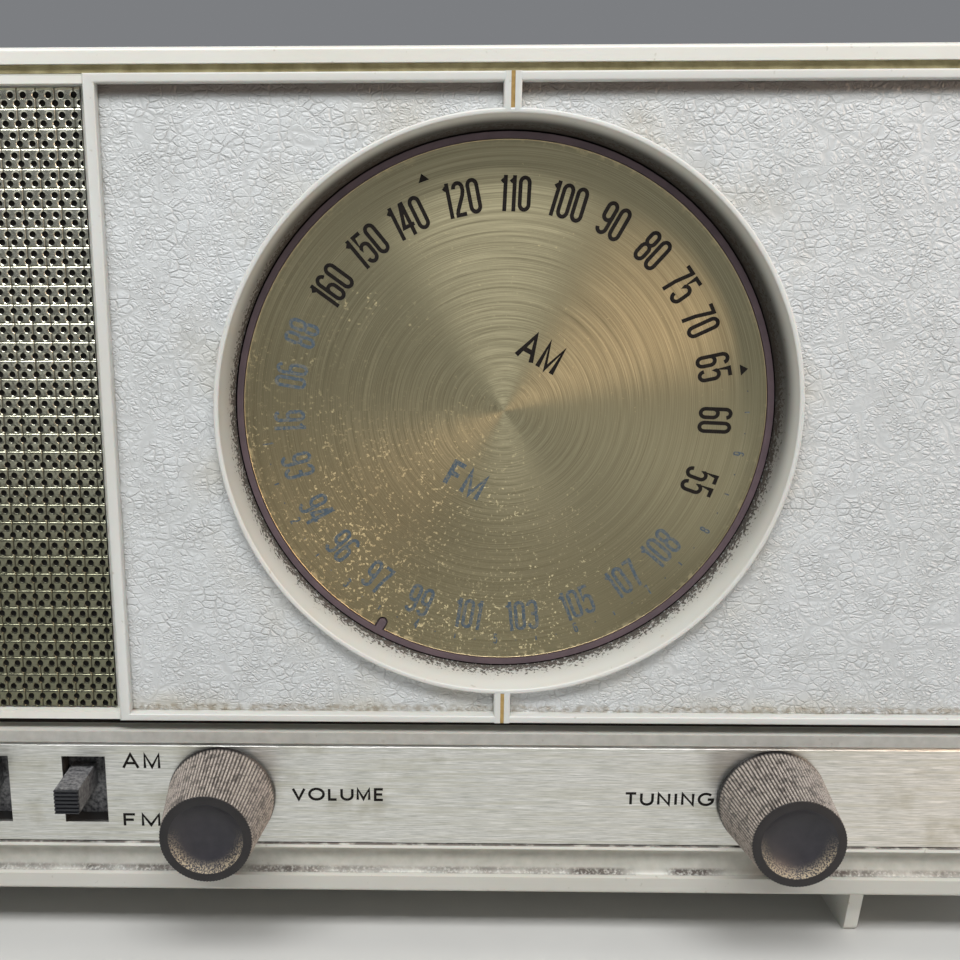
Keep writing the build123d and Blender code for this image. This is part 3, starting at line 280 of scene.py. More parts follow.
def bezel_dirt(tree, where):
    """Dirt film with painted shade that thicken to the foot of the dial's well, painted shade high in the well,
    with crumbs, and a trace by the bars.
    """
    x, y, z = axes(tree, where)
    reach = add(tree, "VectorMath", {0: where, 1: (DIAL[0], 0, DIAL[2])}, operation="SUBTRACT")
    reach = add(tree, "VectorMath", {0: reach, 1: (1, 0, 1)}, operation="MULTIPLY")
    reach = add(tree, "VectorMath", {0: reach}, out="Value", operation="LENGTH")
    in_well = span(tree, reach, BEZEL_OUT - 0.5 * MM, BEZEL_OUT - 0.9 * MM)
    # Dirt film with painted shade: darker the deeper the well.
    film = both(tree, in_well, span(tree, y, FRONT + 1.5 * MM, FRONT + 8.5 * MM))
    grains = add(tree, "TexNoise", {"Vector": where, "Scale": 1000 / 0.7, "Detail": 4, "Roughness": 0.7})
    limit = add(tree, "MapRange", {"Value": y, "From Min": FRONT + 2.0 * MM, "From Max": FRONT + 8.6 * MM,
                                   "To Min": 0.80, "To Max": 0.36})
    crumbs = span(tree, add(tree, "Math", {0: grains, 1: limit}, operation="SUBTRACT"), 0.0, 0.08)
    foot = both(tree, span(tree, y, FRONT + 1.3 * MM, FRONT + 2.2 * MM), cloud(tree, where, 3.5, 0.4, 0.7))
    foot = both(tree, foot, span(tree, reach, BEZEL_OUT - 0.5 * MM, BEZEL_OUT))
    # Painted shade: the upper wall of the well, which faces down, is darkened, most towards the back.
    lean = add(tree, "Math", {0: z, 1: both(tree, x, 0.35)}, operation="ADD")
    shade = span(tree, lean, DIAL[2] - 5 * MM, DIAL[2] + 55 * MM)
    shade = both(tree, both(tree, in_well, shade), span(tree, y, FRONT + 0.8 * MM, FRONT + 5.5 * MM))
    return [(both(tree, film, 0.35), "#5F5C50"), (both(tree, shade, 0.92), "#221E18"),
            (both(tree, both(tree, in_well, crumbs), 0.9), "#2B2117"), (both(tree, foot, 0.4), "#7A6A48")]


cabinet_plastic = polystyrene("moulded cream polystyrene", "#E0DFD8", "#D8D6CC", groove_dirt)
frame_plastic = polystyrene("moulded cream polystyrene of the frame", "#D3D4D0", "#CBCAC3", bezel_dirt)
print("made", cabinet_plastic.name, "and", frame_plastic.name)

# %% [markdown]
# ## Leatherette
# The two fields beside the dial are vinyl with an embossed hide grain: soft cells of three sizes, from one
# to seven millimetres wide, with creases between them. A Voronoi pattern gives such cells, and its distance
# to the nearest edge gives the creases. The coordinates are first pushed about by noise, because
# straight-sided cells look like cracked mud. The creases are darker as well as deeper. Age has left
# tea-coloured stains near the bezel and along the bottom, and shadow is painted in a brown band along the
# top, under the frame's bar.

# %% Embossed vinyl leatherette
def creases(tree, where, size, warp, shoulder, grow=1.0):
    """Valleys between pebbles size millimetres wide: 1 at the bottom, 0 from shoulder millimetres away."""
    push = add(tree, "TexNoise", {"Vector": where, "Scale": 1000 / (1.3 * size), "Detail": 3}, out="Color")
    push = add(tree, "VectorMath", {0: push, 1: (0.5, 0.5, 0.5)}, operation="SUBTRACT")
    push = add(tree, "VectorMath", {0: push, "Scale": warp * MM}, operation="SCALE")
    moved = add(tree, "VectorMath", {0: where, 1: push}, operation="ADD")
    moved = add(tree, "VectorMath", {0: moved, 1: (1 / grow, 1, grow)}, operation="MULTIPLY")
    edge = add(tree, "TexVoronoi", {"Vector": moved, "Scale": 1000 / size}, out="Distance",
               feature="DISTANCE_TO_EDGE")
    return add(tree, "MapRange", {"Value": edge, "From Max": shoulder / size, "To Min": 1.0, "To Max": 0.0},
               interpolation_type="SMOOTHSTEP")


def leatherette():
    """Vinyl embossed with a hide grain in three sizes, with darker creases, dirt along the bottom edge and painted
    shadow along the top edge.
    """
    made, tree, where, dress = finish("embossed vinyl leatherette", IOR=1.53)
    z = axes(tree, where)[2]
    folds = both(tree, creases(tree, where, 7.5, 8, 0.8, 1.2),
                 both(tree, cloud(tree, where, 10, 0.28, 0.5), 0.6))
    pebbles = both(tree, creases(tree, where, 2.0, 1.5, 0.36, 1.2),
                   add(tree, "MapRange", {"Value": cloud(tree, where, 7, 0.34, 0.6), "To Min": 0.5}))
    grains = both(tree, creases(tree, where, 1.1, 0.8, 0.28, 1.15),
                  add(tree, "MapRange", {"Value": cloud(tree, where, 5, 0.36, 0.62), "To Min": 0.4}))
    pores = cloud(tree, where, 0.55, 0.50, 0.66, detail=2)
    depth = either(tree, folds, either(tree, both(tree, pebbles, 0.75), both(tree, grains, 0.6)))
    depth = either(tree, depth, both(tree, pores, 0.22))
    reach = add(tree, "VectorMath", {0: where, 1: (DIAL[0], INLAY_FACE, DIAL[2])}, out="Value",
                operation="DISTANCE")
    near = span(tree, reach, 72 * MM, 60 * MM)
    bottom = span(tree, z, FRAME_LOW[2] + 8 * MM, FRAME_LOW[2] + 2 * MM)
    stain = both(tree, either(tree, near, bottom), cloud(tree, where, 16, 0.45, 0.72))
    fringe = span(tree, z, FRAME_LOW[2] + 3.6 * MM, FRAME_LOW[2] + 2.6 * MM)
    fringe = both(tree, fringe, cloud(tree, where, 1.5, 0.40, 0.6))
    # Painted shadow: a brown band along the top, under the frame's top bar.
    shade = span(tree, z, FRAME_HIGH[2] - 4.6 * MM, FRAME_HIGH[2] - 3.0 * MM)
    skin = blend(tree, cloud(tree, where, 30, 0.3, 0.7), "#D2D5D6", "#CBCECE")
    skin = blend(tree, both(tree, stain, 0.4), skin, "#B3A684")
    skin = blend(tree, both(tree, fringe, 0.55), skin, "#7D6A45")
    skin = blend(tree, both(tree, shade, 0.85), skin, "#53402F")
    # The creases are darkened in colour as well as by the bump.
    tint = add(tree, "Math", {0: depth, 1: 2.0}, operation="POWER")
    dress(Base_Color=blend(tree, both(tree, tint, 0.5), skin, "#67645D"))
    height = add(tree, "Math", {0: depth, 1: -1.0}, operation="MULTIPLY")
    dress(Normal=add(tree, "Bump", {"Height": height, "Strength": 1.0, "Distance": 0.00028}))
    dress(Roughness=add(tree, "MapRange", {"Value": depth, "To Min": 0.36, "To Max": 0.6}))
    return made


vinyl = leatherette()
print("made", vinyl.name)

# %% [markdown]
# ## Brushed brass
# The scale plate was spun on a lathe while it was brushed, so its scratches are circles about its centre.
# Each scratch spreads light across itself, along the radius, and that is why bright wedges seem to stand on
# the plate. The shader does the same with anisotropy, whose direction here is the radius, worked out from
# the place. The scratches themselves are noise of the radius, broken along the circle. Under the old
# lacquer the brass has pale spots of corrosion, thickest at the left and below, and a few at the edge where
# the lacquer has chipped. Low on the left the colour is painted darker, as shade for the plate's dimmer
# reflection there.

# %% Spun and lacquered brass
def ring_places(tree, where):
    """Direction from the dial's centre, distance to it, and a place made of radius and angle for streaks."""
    out = add(tree, "VectorMath", {0: where, 1: tuple(DIAL)}, operation="SUBTRACT")
    flat = add(tree, "VectorMath", {0: out, 1: (1, 0, 1)}, operation="MULTIPLY")
    reach = add(tree, "VectorMath", {0: flat}, out="Value", operation="LENGTH")
    x, _, z = axes(tree, flat)
    angle = add(tree, "Math", {0: z, 1: x}, operation="ARCTAN2")
    return flat, reach, angle


def spun_brass():
    """Brass with circular scratches, radial gloss wedges, lacquer, pale corrosion and painted shade low on the
    left.
    """
    made, tree, where, dress = finish("spun and lacquered brass", Metallic=1.0, Anisotropic=0.85, Coat_Weight=0.25,
                                      Coat_Roughness=0.12)
    flat, reach, angle = ring_places(tree, where)
    radius_word = add(tree, "CombineXYZ", {"X": both(tree, reach, 1 / (0.20 * MM)), "Y": both(tree, angle, 0.9)})
    scratch = add(tree, "TexNoise", {"Vector": radius_word, "Scale": 1.0, "Detail": 3, "Roughness": 0.7})
    bands_word = add(tree, "CombineXYZ", {"X": both(tree, reach, 1 / (0.9 * MM)), "Y": both(tree, angle, 0.8)})
    bands = add(tree, "TexNoise", {"Vector": bands_word, "Scale": 1.0, "Detail": 2})
    shine = add(tree, "MapRange", {"Value": scratch, "From Min": 0.3, "From Max": 0.7})
    metal = blend(tree, shine, "#948D70", "#C6BE9C")
    metal = blend(tree, both(tree, bands, 0.12), metal, "#95825A")
    x, _, z = axes(tree, flat)
    lean = add(tree, "Math", {0: both(tree, x, -1.0), 1: both(tree, z, -0.7)}, operation="ADD")
    sick = span(tree, lean, -40 * MM, 45 * MM)
    # Painted shade: the plate is darkened low on the left, where its reflection is dim.
    low = add(tree, "Math", {0: both(tree, z, -1.0), 1: both(tree, x, -0.4)}, operation="ADD")
    metal = blend(tree, both(tree, span(tree, low, -8 * MM, 34 * MM), 0.62), metal, "#675E45")
    thick = add(tree, "MapRange", {"Value": sick, "To Min": 0.67, "To Max": 0.59})
    spots = add(tree, "TexNoise", {"Vector": where, "Scale": 1000 / 0.62, "Detail": 4, "Roughness": 0.62})
    spots = span(tree, add(tree, "Math", {0: spots, 1: thick}, operation="SUBTRACT"), 0.0, 0.04)
    rim = both(tree, span(tree, reach, DISC_R - 1.6 * MM, DISC_R), cloud(tree, where, 1.6, 0.52, 0.62))
    spots = either(tree, spots, rim)
    groups = cloud(tree, where, 12, 0.38, 0.6)
    spots = both(tree, spots, add(tree, "MapRange", {"Value": groups, "To Min": 0.2, "To Max": 1.0}))
    dress(Base_Color=blend(tree, spots, metal, "#CFC39A"))
    dress(Metallic=add(tree, "MapRange", {"Value": spots, "To Min": 1.0, "To Max": 0.55}))
    dull = add(tree, "MapRange", {"Value": scratch, "From Min": 0.3, "From Max": 0.7,
                                  "To Min": 0.29, "To Max": 0.39})
    dress(Roughness=add(tree, "Math", {0: dull, 1: both(tree, spots, 0.35)}, operation="ADD"))
    world_way = add(tree, "VectorTransform", {"Vector": flat}, vector_type="VECTOR", convert_from="OBJECT",
                    convert_to="WORLD")
    dress(Tangent=add(tree, "VectorMath", {0: world_way}, operation="NORMALIZE"))
    dress(Normal=add(tree, "Bump", {"Height": scratch, "Strength": 0.4, "Distance": 0.00003}))
    return made


brass = spun_brass()
print("made", brass.name)

# %% [markdown]
# ## Brushed aluminium
# The strip behind the knobs is aluminium brushed along its length and anodised a pale champagne. Long thin
# streaks come from noise squeezed hard along X. The gloss is anisotropic too, so lamps smear up and down
# across the brushing.

# %% Aluminium brushed lengthways
def brushed_aluminium():
    """Anodised strip with streaks along X, fine and coarse."""
    made, tree, where, dress = finish("brushed anodised aluminium", Metallic=1.0, Anisotropic=0.7)
    fine = add(tree, "Mapping", {"Vector": where, "Scale": (1 / (6 * MM), 1, 1 / (0.2 * MM))})
    fine = add(tree, "TexNoise", {"Vector": fine, "Scale": 1.0, "Detail": 3, "Roughness": 0.7})
    coarse = add(tree, "Mapping", {"Vector": where, "Scale": (1 / (30 * MM), 1, 1 / (0.7 * MM))})
    coarse = add(tree, "TexNoise", {"Vector": coarse, "Scale": 1.0, "Detail": 2})
    streak = add(tree, "MapRange", {"Value": fine, "From Min": 0.3, "From Max": 0.7})
    metal = blend(tree, streak, "#B4B6B0", "#FAFAF7")
    patch = add(tree, "MapRange", {"Value": coarse, "From Min": 0.45, "From Max": 0.7, "To Max": 0.6})
    metal = blend(tree, patch, metal, "#C9C8B8")
    stains = both(tree, cloud(tree, where, 10, 0.58, 0.75), 0.35)
    dress(Base_Color=blend(tree, stains, metal, "#8E8868"))
    dress(Roughness=add(tree, "MapRange", {"Value": fine, "From Min": 0.3, "From Max": 0.7,
                                           "To Min": 0.27, "To Max": 0.42}))
    dress(Tangent=add(tree, "VectorTransform", {"Vector": (0, 0, 1)}, vector_type="VECTOR",
                      convert_from="OBJECT", convert_to="WORLD"))
    dress(Normal=add(tree, "Bump", {"Height": fine, "Strength": 0.6, "Distance": 0.00004}))
    return made


strip_metal = brushed_aluminium()
print("made", strip_metal.name)

# %% [markdown]
# ## Stamped grille metal
# The loudspeaker's grille is thin aluminium, pierced and stamped with a woven pattern, then anodised
# champagne and worn to gunmetal in the hollows. Stamping leaves the high ridges polished and the low places
# dull and dirty, so one mask, from the depth and the upright seams, sets colour and gloss together. The
# colour is also painted darker towards the bottom of the sheet, as shade.

# %% Stamped anodised aluminium
def grille_metal():
    """Champagne metal, bright on the ridges, grey-brown in the hollows and in the narrow upright seams, painted
    darker towards the bottom as shade.
    """
    made, tree, where, dress = finish("stamped anodised aluminium", Metallic=1.0)
    x, y, z = axes(tree, where)
    low, high = box("speaker_grille")
    hollow = span(tree, y, low[1] + 0.22 * MM, low[1] + 0.34 * MM)
    along = add(tree, "Math", {0: x, 1: low[0]}, operation="SUBTRACT")
    half_seam = SEAM_HOLES / 2 * (high[0] - low[0]) / GRILLE_HOLES
    along = add(tree, "Math", {0: along, 1: half_seam}, operation="PINGPONG")
    seam = span(tree, along, 0.24 * MM, 0.08 * MM)
    # Painted shade: the metal's colour darkens towards the bottom of the sheet.
    metal = blend(tree, span(tree, z, 80 * MM, 165 * MM), "#7F7F6B", "#D9D9C8")
    metal = blend(tree, both(tree, cloud(tree, where, 1.1, 0.45, 0.7), 0.4), metal, "#6A6654")
    dirt = either(tree, both(tree, hollow, 0.6), both(tree, seam, 0.75))
    dress(Base_Color=blend(tree, dirt, metal, "#3B3729"))
    dress(Roughness=add(tree, "MapRange", {"Value": dirt, "To Min": 0.27, "To Max": 0.5}))
    fine = add(tree, "TexNoise", {"Vector": where, "Scale": 1000 / 0.6, "Detail": 2})
    height = add(tree, "Math", {0: seam, 1: -2.0, 2: fine}, operation="MULTIPLY_ADD")
    dress(Normal=add(tree, "Bump", {"Height": height, "Strength": 0.6, "Distance": 0.00006}))
    return made


weave_metal = grille_metal()
print("made", weave_metal.name)

# %% [markdown]
# ## Knob plastic, black plastic and inks
# The knobs are a dark brown urea plastic. Grey-tan dust clings to the ridges between the flutes, and
# gold-coloured dust lies along the lower brink of the dished end. So each knob's mesh carries three
# attributes: one is 1 on the ridges, one is 1 in the dish and one climbs to 1 at its brink. The levers are
# black plastic with dusty flanks. The inks on the plate and the strip are matt films, one still black and
# one faded to blue-grey and worn thin in places.

# %% Knob plastic, lever plastic and inks
def knob_plastic():
    """Brown plastic with dust on the ridges and along the dish's lower brink."""
    made, tree, where, dress = finish("moulded brown urea plastic", IOR=1.5)
    z = axes(tree, where)[2]
    ridge = add(tree, "Attribute", {}, out="Fac", attribute_name="ridge")
    dish = add(tree, "Attribute", {}, out="Fac", attribute_name="dish")
    skin = blend(tree, cloud(tree, where, 3, 0.35, 0.7), "#171517", "#1F1C1E")
    worn = add(tree, "MapRange", {"Value": cloud(tree, where, 1.7, 0.36, 0.50), "To Min": 0.4})
    fine = cloud(tree, where, 0.5, 0.34, 0.55)
    worn = both(tree, worn, add(tree, "MapRange", {"Value": fine, "To Min": 0.45}))
    dust = both(tree, ridge, worn)
    skin = blend(tree, either(tree, dust, both(tree, worn, both(tree, ridge, 0.3))), skin, "#BDB2A8")
    skin = blend(tree, dish, skin, blend(tree, cloud(tree, where, 2, 0.3, 0.7), "#232329", "#2E2C32"))
    low = span(tree, z, middle("tuning_knob")[2] + 3 * MM, middle("tuning_knob")[2] - 6 * MM)
    edge = span(tree, add(tree, "Attribute", {}, out="Fac", attribute_name="brink"), 0.45, 0.95)
    crumbs = cloud(tree, where, 0.3, 0.44, 0.58)
    gold = both(tree, both(tree, edge, low), crumbs)
    skin = blend(tree, both(tree, gold, 0.9), skin, "#B5A68C")
    dress(Base_Color=skin)
    dress(Roughness=add(tree, "MapRange", {"Value": either(tree, dust, gold), "To Min": 0.42, "To Max": 0.9}))
    grain = add(tree, "TexNoise", {"Vector": where, "Scale": 1000 / 0.25, "Detail": 3})
    dress(Normal=add(tree, "Bump", {"Height": grain, "Strength": 0.35, "Distance": 0.00006}))
    return made


def plain(name, dark, light, size, rough=(0.4, 0.6), metallic=0.0, bump=0.3, **sockets):
    """Colour that drifts between two shades over size millimetres, with a grain a quarter of that."""
    made, tree, where, dress = finish(name, Metallic=metallic, **sockets)
    drift = cloud(tree, where, size, 0.3, 0.7)
    fine = add(tree, "TexNoise", {"Vector": where, "Scale": 4000 / size, "Detail": 3})
    dress(Base_Color=blend(tree, drift, dark, light))
    dress(Roughness=add(tree, "MapRange", {"Value": fine, "To Min": rough[0], "To Max": rough[1]}))
    dress(Normal=add(tree, "Bump", {"Height": fine, "Strength": bump, "Distance": 0.0001}))
    return made


def lever_plastic():
    """Black plastic whose sides and grooves are dusty."""
    made, tree, where, dress = finish("moulded black plastic with dust")
    y = axes(tree, where)[1]
    tip = box("band_switch_lever")[0][1]
    dust = both(tree, span(tree, y, tip + 0.3 * MM, tip + 1.2 * MM), cloud(tree, where, 0.8, 0.3, 0.62))
    dress(Base_Color=blend(tree, dust, "#202227", "#7F7F80"))
    dress(Roughness=add(tree, "MapRange", {"Value": dust, "To Min": 0.42, "To Max": 0.85}))
    return made


def worn_ink(name, colour, worn_colour, worn, metallic=0.0):
    """Printed film that has rubbed thin; worn is how much of it shows the metal's colour."""
    made, tree, where, dress = finish(name, Roughness=0.6, Metallic=metallic, Specular_IOR_Level=0.2)
    rubbed = cloud(tree, where, 0.5, 0.47, 0.60)
    dress(Base_Color=blend(tree, both(tree, rubbed, worn), colour, worn_colour))
    return made


def switch_steel():
    """Plated steel, painted near black as shade where it looks out through the slots of the control strip."""
    made, tree, where, dress = finish("zinc-plated steel", Metallic=1.0)
    _, y, z = axes(tree, where)
    # Painted shade: the steel seen through the strip's slots is made near black.
    slot_shade = both(tree, span(tree, y, STRIP_FACE + 16 * MM, STRIP_FACE + 14 * MM),
                 both(tree, span(tree, z, 22 * MM, 23 * MM), span(tree, z, 50 * MM, 49 * MM)))
    skin = blend(tree, cloud(tree, where, 14, 0.3, 0.7), "#8E8D84", "#A9A79B")
    dress(Base_Color=blend(tree, slot_shade, skin, "#060606"))
    dull = cloud(tree, where, 4, 0.3, 0.7)
    dress(Roughness=add(tree, "MapRange", {"Value": dull, "To Min": 0.3, "To Max": 0.5}))
    return made


knob_brown = knob_plastic()
lever_black = lever_plastic()
ink_black = worn_ink("black printing ink", "#0A0707", "#2A2118", 0.3)
ink_faded = worn_ink("faded blue-grey printing ink", "#4C5963", "#857D66", 0.5)
carrier_brown = plain("moulded purple-brown plastic", "#54474C", "#635257", 4, rough=(0.3, 0.45), bump=0.15)
matt_black = plain("matt black plastic", "#0B0A0A", "#12100F", 5, rough=(0.8, 0.95))
index_gold = plain("gold foil line", "#A98B55", "#C4A66B", 1.5, rough=(0.3, 0.5), metallic=0.6)
print("made the finishes of knobs, levers, inks and the dial's carrier")

# %% [markdown]
# ## Finishes inside and at the back
# The other solids take simpler finishes, one for each material slot of the model. They are seen through the
# vents and from behind, so they get a real colour, a drift between two shades and a fine grain, all by one
# recipe.

# %% Finish of every slot
FINISHES = {
    "cream_plastic": cabinet_plastic,
    "leatherette": vinyl,
    "brass_plate": brass,
    "carrier_brown": carrier_brown,
    "strip_aluminium": strip_metal,
    "grille_metal": weave_metal,
    "knob_brown": knob_brown,
    "switch_black": lever_black,
    "shield_black": matt_black,
    "index_gold": index_gold,
    "cover_brown": plain("pebbled brown polystyrene", "#2E2119", "#3A2B21", 2.4, rough=(0.45, 0.7), bump=0.9),
    "bakelite_black": plain("moulded black phenolic", "#120F0D", "#1E1916", 9, rough=(0.2, 0.35), bump=0.15),
    "steel_plated": switch_steel(),
    "nickel": plain("nickel plate", "#B9B4A8", "#CCC7BA", 6, rough=(0.18, 0.3), metallic=1.0, bump=0.1),
    "aluminium_can": plain("drawn aluminium", "#B4B5B5", "#C9CACA", 10, rough=(0.28, 0.42), metallic=1.0),
    "electrode_black": plain("blackened nickel", "#141414", "#222120", 4, rough=(0.5, 0.7), metallic=0.5),
    "phenolic_brown": plain("laminated phenolic", "#5E3A1C", "#704824", 8, rough=(0.35, 0.55)),
    "fibreboard": plain("pressed fibreboard", "#3A2D20", "#4B3B2A", 3, rough=(0.8, 0.95), bump=0.8),
    "paper_black": plain("pulp paper", "#151412", "#1F1D1A", 2, rough=(0.85, 0.95), bump=0.8),
    "felt_grey": plain("grey felt", "#45423F", "#56524D", 2, rough=(0.9, 1.0), bump=0.9),
    "ferrite": plain("sintered ferrite", "#1B1B1D", "#29292B", 3, rough=(0.5, 0.7)),
    "lamination_steel": plain("varnished steel laminations", "#2B2824", "#3C3833", 5, rough=(0.35, 0.55),
                              metallic=0.6),
    "coil_paper": plain("waxed paper", "#8A6C3C", "#A08250", 6, rough=(0.35, 0.5)),
    "cord_braid": plain("waxed braid", "#B5A57E", "#CBBD98", 1, rough=(0.7, 0.9), bump=0.8),
    "tube_glass": plain("clear glass", "#E8EFEC", "#F4F8F6", 20, rough=(0.02, 0.05), bump=0.02,
                        **{"Transmission_Weight": 1.0, "IOR": 1.5}),
}
for part in frame["record"]["subparts"]:
    shape = nodes[part["node"]].data
    shape.materials.clear()
    shape.materials.append(FINISHES[part["material_slot"]])

# %% [markdown]
# ## Tools for shapes
# Each new piece is a surface worked out as arrays. A grid of points has a row for each place along a path
# and a column for each point of the section, and one function joins neighbours into quads. Turned pieces,
# frames and printed lines are all the same idea: a section carried along a path.

# %% Grids, surfaces of turning and pieces
def grid_faces(rows, columns, round_rows=False, round_columns=False):
    """Quads between neighbours in a grid; a round side joins its last line to its first."""
    index = np.arange(rows * columns).reshape(rows, columns)
    index = np.vstack([index, index[:1]]) if round_rows else index
    index = np.hstack([index, index[:, :1]]) if round_columns else index
    corners = [index[:-1, :-1], index[1:, :-1], index[1:, 1:], index[:-1, 1:]]
    return np.stack(corners, axis=-1).reshape(-1, 4)


def make_piece(name, points, faces, skin, body, sharp=35.0, attributes=None):
    """Mesh object at the origin: doubles merged, normals outwards, smooth below the sharp angle."""
    mesh = bpy.data.meshes.new(name)
    mesh.from_pydata(np.asarray(points).reshape(-1, 3).tolist(), [], [list(face) for face in faces])
    for key, values in (attributes or {}).items():
        layer = mesh.attributes.new(key, "FLOAT", "POINT")
        layer.data.foreach_set("value", np.asarray(values, dtype=np.float32).ravel())
    work = bmesh.new()
    work.from_mesh(mesh)
    bmesh.ops.remove_doubles(work, verts=work.verts, dist=0.002 * MM)
    bmesh.ops.dissolve_degenerate(work, edges=work.edges, dist=0.001 * MM)
    bmesh.ops.recalc_face_normals(work, faces=work.faces)
    work.to_mesh(mesh)
    work.free()
    mesh.shade_smooth()
    mesh.set_sharp_from_angle(angle=radians(sharp))
    made = bpy.data.objects.new(name, mesh)
    bpy.context.scene.collection.objects.link(made)
    mesh.materials.append(skin)
    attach(made, body)
    print(name, "has", len(mesh.polygons), "faces")
    return made


def bend(across, deep, radius, start, end, steps=6):
    """Points of a rounded edge: an arc about (across, deep) from one angle to another, in degrees."""
    turn = np.radians(np.linspace(start, end, steps))
    return np.stack([across + radius * np.cos(turn), deep + radius * np.sin(turn)], axis=-1)


# %% [markdown]
# ## Face frame
# One cream moulding holds the dial section together: a low frame round the leatherette, a round bezel and
# two short ribs that join them. Moulded edges are never sharp, and each catches a thin line of light, so
# every front edge here is an arc. The bezel is a section turned about the dial's axis. The frame is a
# section carried round three sides, once to the left of the ribs and once to the right, mitred at the
# corners.

# %% Bezel, bars and ribs
EDGE = 0.4 * MM                              # radius of the moulded front edges
RING_STEPS = 360
BEZEL_IN, WELL_IN = 58.7 * MM, 56.75 * MM     # the well narrows from its mouth to its foot
WELL_BACK = FRAME_HIGH[1]                    # Y of the foot of the dial's well
BAR_BACK = INLAY_FACE + 2.4 * MM
TOP_BAR, BOTTOM_BAR, SIDE_BAR, RIB_HALF = 1.8 * MM, 1.6 * MM, 2.3 * MM, 1.75 * MM
FIELD_LOW = FRAME_LOW[2] + BOTTOM_BAR
FIELD_HIGH = FRAME_HIGH[2] - TOP_BAR


def turned(section, turns, centre=DIAL):
    """Rows of a section given as (radius, y), turned about an axis along Y: x = r cos, z = r sin."""
    angle = np.arange(turns) * 2 * pi / turns
    radius, deep = section[:, 0], section[:, 1]
    x = centre[0] + np.cos(angle)[:, None] * radius
    z = centre[2] + np.sin(angle)[:, None] * radius
    return np.stack([x, np.broadcast_to(deep, x.shape), z], axis=-1)


def bar_section():
    """Closed section of a bar as (share of its width, y), from the outer foot over the front to the inner."""
    turn = np.radians(np.linspace(180, 270, 6))
    outer = np.stack([0.2 + 0.2 * np.cos(turn), FRONT + EDGE + EDGE * np.sin(turn)], axis=-1)
    inner = np.stack([1 - outer[::-1, 0], outer[::-1, 1]], axis=-1)
    return np.vstack([[[0, BAR_BACK]], outer, inner, [[1, BAR_BACK]]])


def mitred(outer, inner, first):
    """A bar's section at each corner, laid from the outer point to the inner; faces close both ends."""
    outer, inner = np.array(outer), np.array(inner)
    section = bar_section()
    flat = outer[:, None] + (inner - outer)[:, None] * section[None, :, :1]
    deep = np.broadcast_to(section[:, 1], flat.shape[:2])
    points = np.stack([flat[..., 0], deep, flat[..., 1]], axis=-1).reshape(-1, 3)
    columns = len(section)
    faces = [list(face) for face in grid_faces(len(outer), columns, round_columns=True) + first]
    ends = [list(range(columns)), list(range((len(outer) - 1) * columns, len(outer) * columns))]
    return points, faces + [[first + place for place in end] for end in ends]


def frame_side(side, first):
    """Bars on three sides of one field; side is -1 for the left field and 1 for the right one."""
    end = DIAL[0] + side * (RIB_HALF - 0.3 * MM)
    far = FRAME_LOW[0] if side < 0 else FRAME_HIGH[0]
    near = far - side * SIDE_BAR
    outer = [(end, FRAME_HIGH[2]), (far, FRAME_HIGH[2]), (far, FRAME_LOW[2]), (end, FRAME_LOW[2])]
    inner = [(end, FIELD_HIGH), (near, FIELD_HIGH), (near, FIELD_LOW), (end, FIELD_LOW)]
    return mitred(outer, inner, first)


def rib(low, high, first):
    """Short upright bar with rounded edges and the groove of the index line down its middle."""
    half = RIB_HALF
    front = FRONT + EDGE
    left = bend(-half + EDGE, front, EDGE, 180, 270)
    groove = [(-0.4 * MM, FRONT), (-0.4 * MM, FRONT + 0.5 * MM), (0.4 * MM, FRONT + 0.5 * MM), (0.4 * MM, FRONT)]
    right = bend(half - EDGE, front, EDGE, 270, 360)
    section = np.vstack([[(-half, BAR_BACK)], left, groove, right, [(half, BAR_BACK)]])
    rows = [np.stack([DIAL[0] + section[:, 0], section[:, 1], np.full(len(section), z)], axis=-1)
            for z in (low, high)]
    columns = len(section)
    faces = [list(face) for face in grid_faces(2, columns, round_columns=True) + first]
    ends = [[first + place for place in range(columns)], [first + columns + place for place in range(columns)]]
    return np.vstack(rows), faces + ends


def face_frame():
    """All of the moulding in one mesh."""
    arcs = [bend(BEZEL_OUT - EDGE, FRONT + EDGE, EDGE, 0, -90),
            bend(BEZEL_IN + EDGE, FRONT + EDGE, EDGE, 270, 180)]
    wall = [(BEZEL_IN + (WELL_IN - BEZEL_IN) * share, FRONT + EDGE + (WELL_BACK - FRONT - EDGE) * share)
            for share in (0.25, 0.5, 0.75, 1)]
    section = np.vstack([[(BEZEL_OUT, WELL_BACK)], *arcs, wall])
    ring = turned(section, RING_STEPS)
    points = [ring.reshape(-1, 3)]
    joins = grid_faces(RING_STEPS, len(section), round_rows=True, round_columns=True)
    faces = [list(face) for face in joins]
    reach = BEZEL_OUT - 0.5 * MM
    builders = [lambda first: frame_side(-1, first), lambda first: frame_side(1, first),
                lambda first: rib(DIAL[2] + reach, FRAME_HIGH[2], first),
                lambda first: rib(FRAME_LOW[2], DIAL[2] - reach, first)]
    for build in builders:
        more, more_faces = build(sum(len(part) for part in points))
        points.append(more)
        faces.extend(more_faces)
    return make_piece("dial_face_frame", np.vstack(points), faces, frame_plastic, "radio")


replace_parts(face_frame(), "face_frame")

# %% [markdown]
# ## Leatherette fields
# Each field is a sheet of vinyl cut round the bezel. Its grid runs from the bezel's arc outwards to the
# frame, like the spokes of a fan whose tips lie on a rectangle, so the cut edge is a true arc. The big
# folds of the hide grain are real relief, worked out from cells scattered on a jittered lattice; the fine
# net is left to the finish.

# %% Embossed sheets
CELL = 7.5 * MM                              # width of one fold
LATTICE = 97                                 # cells before the random places repeat


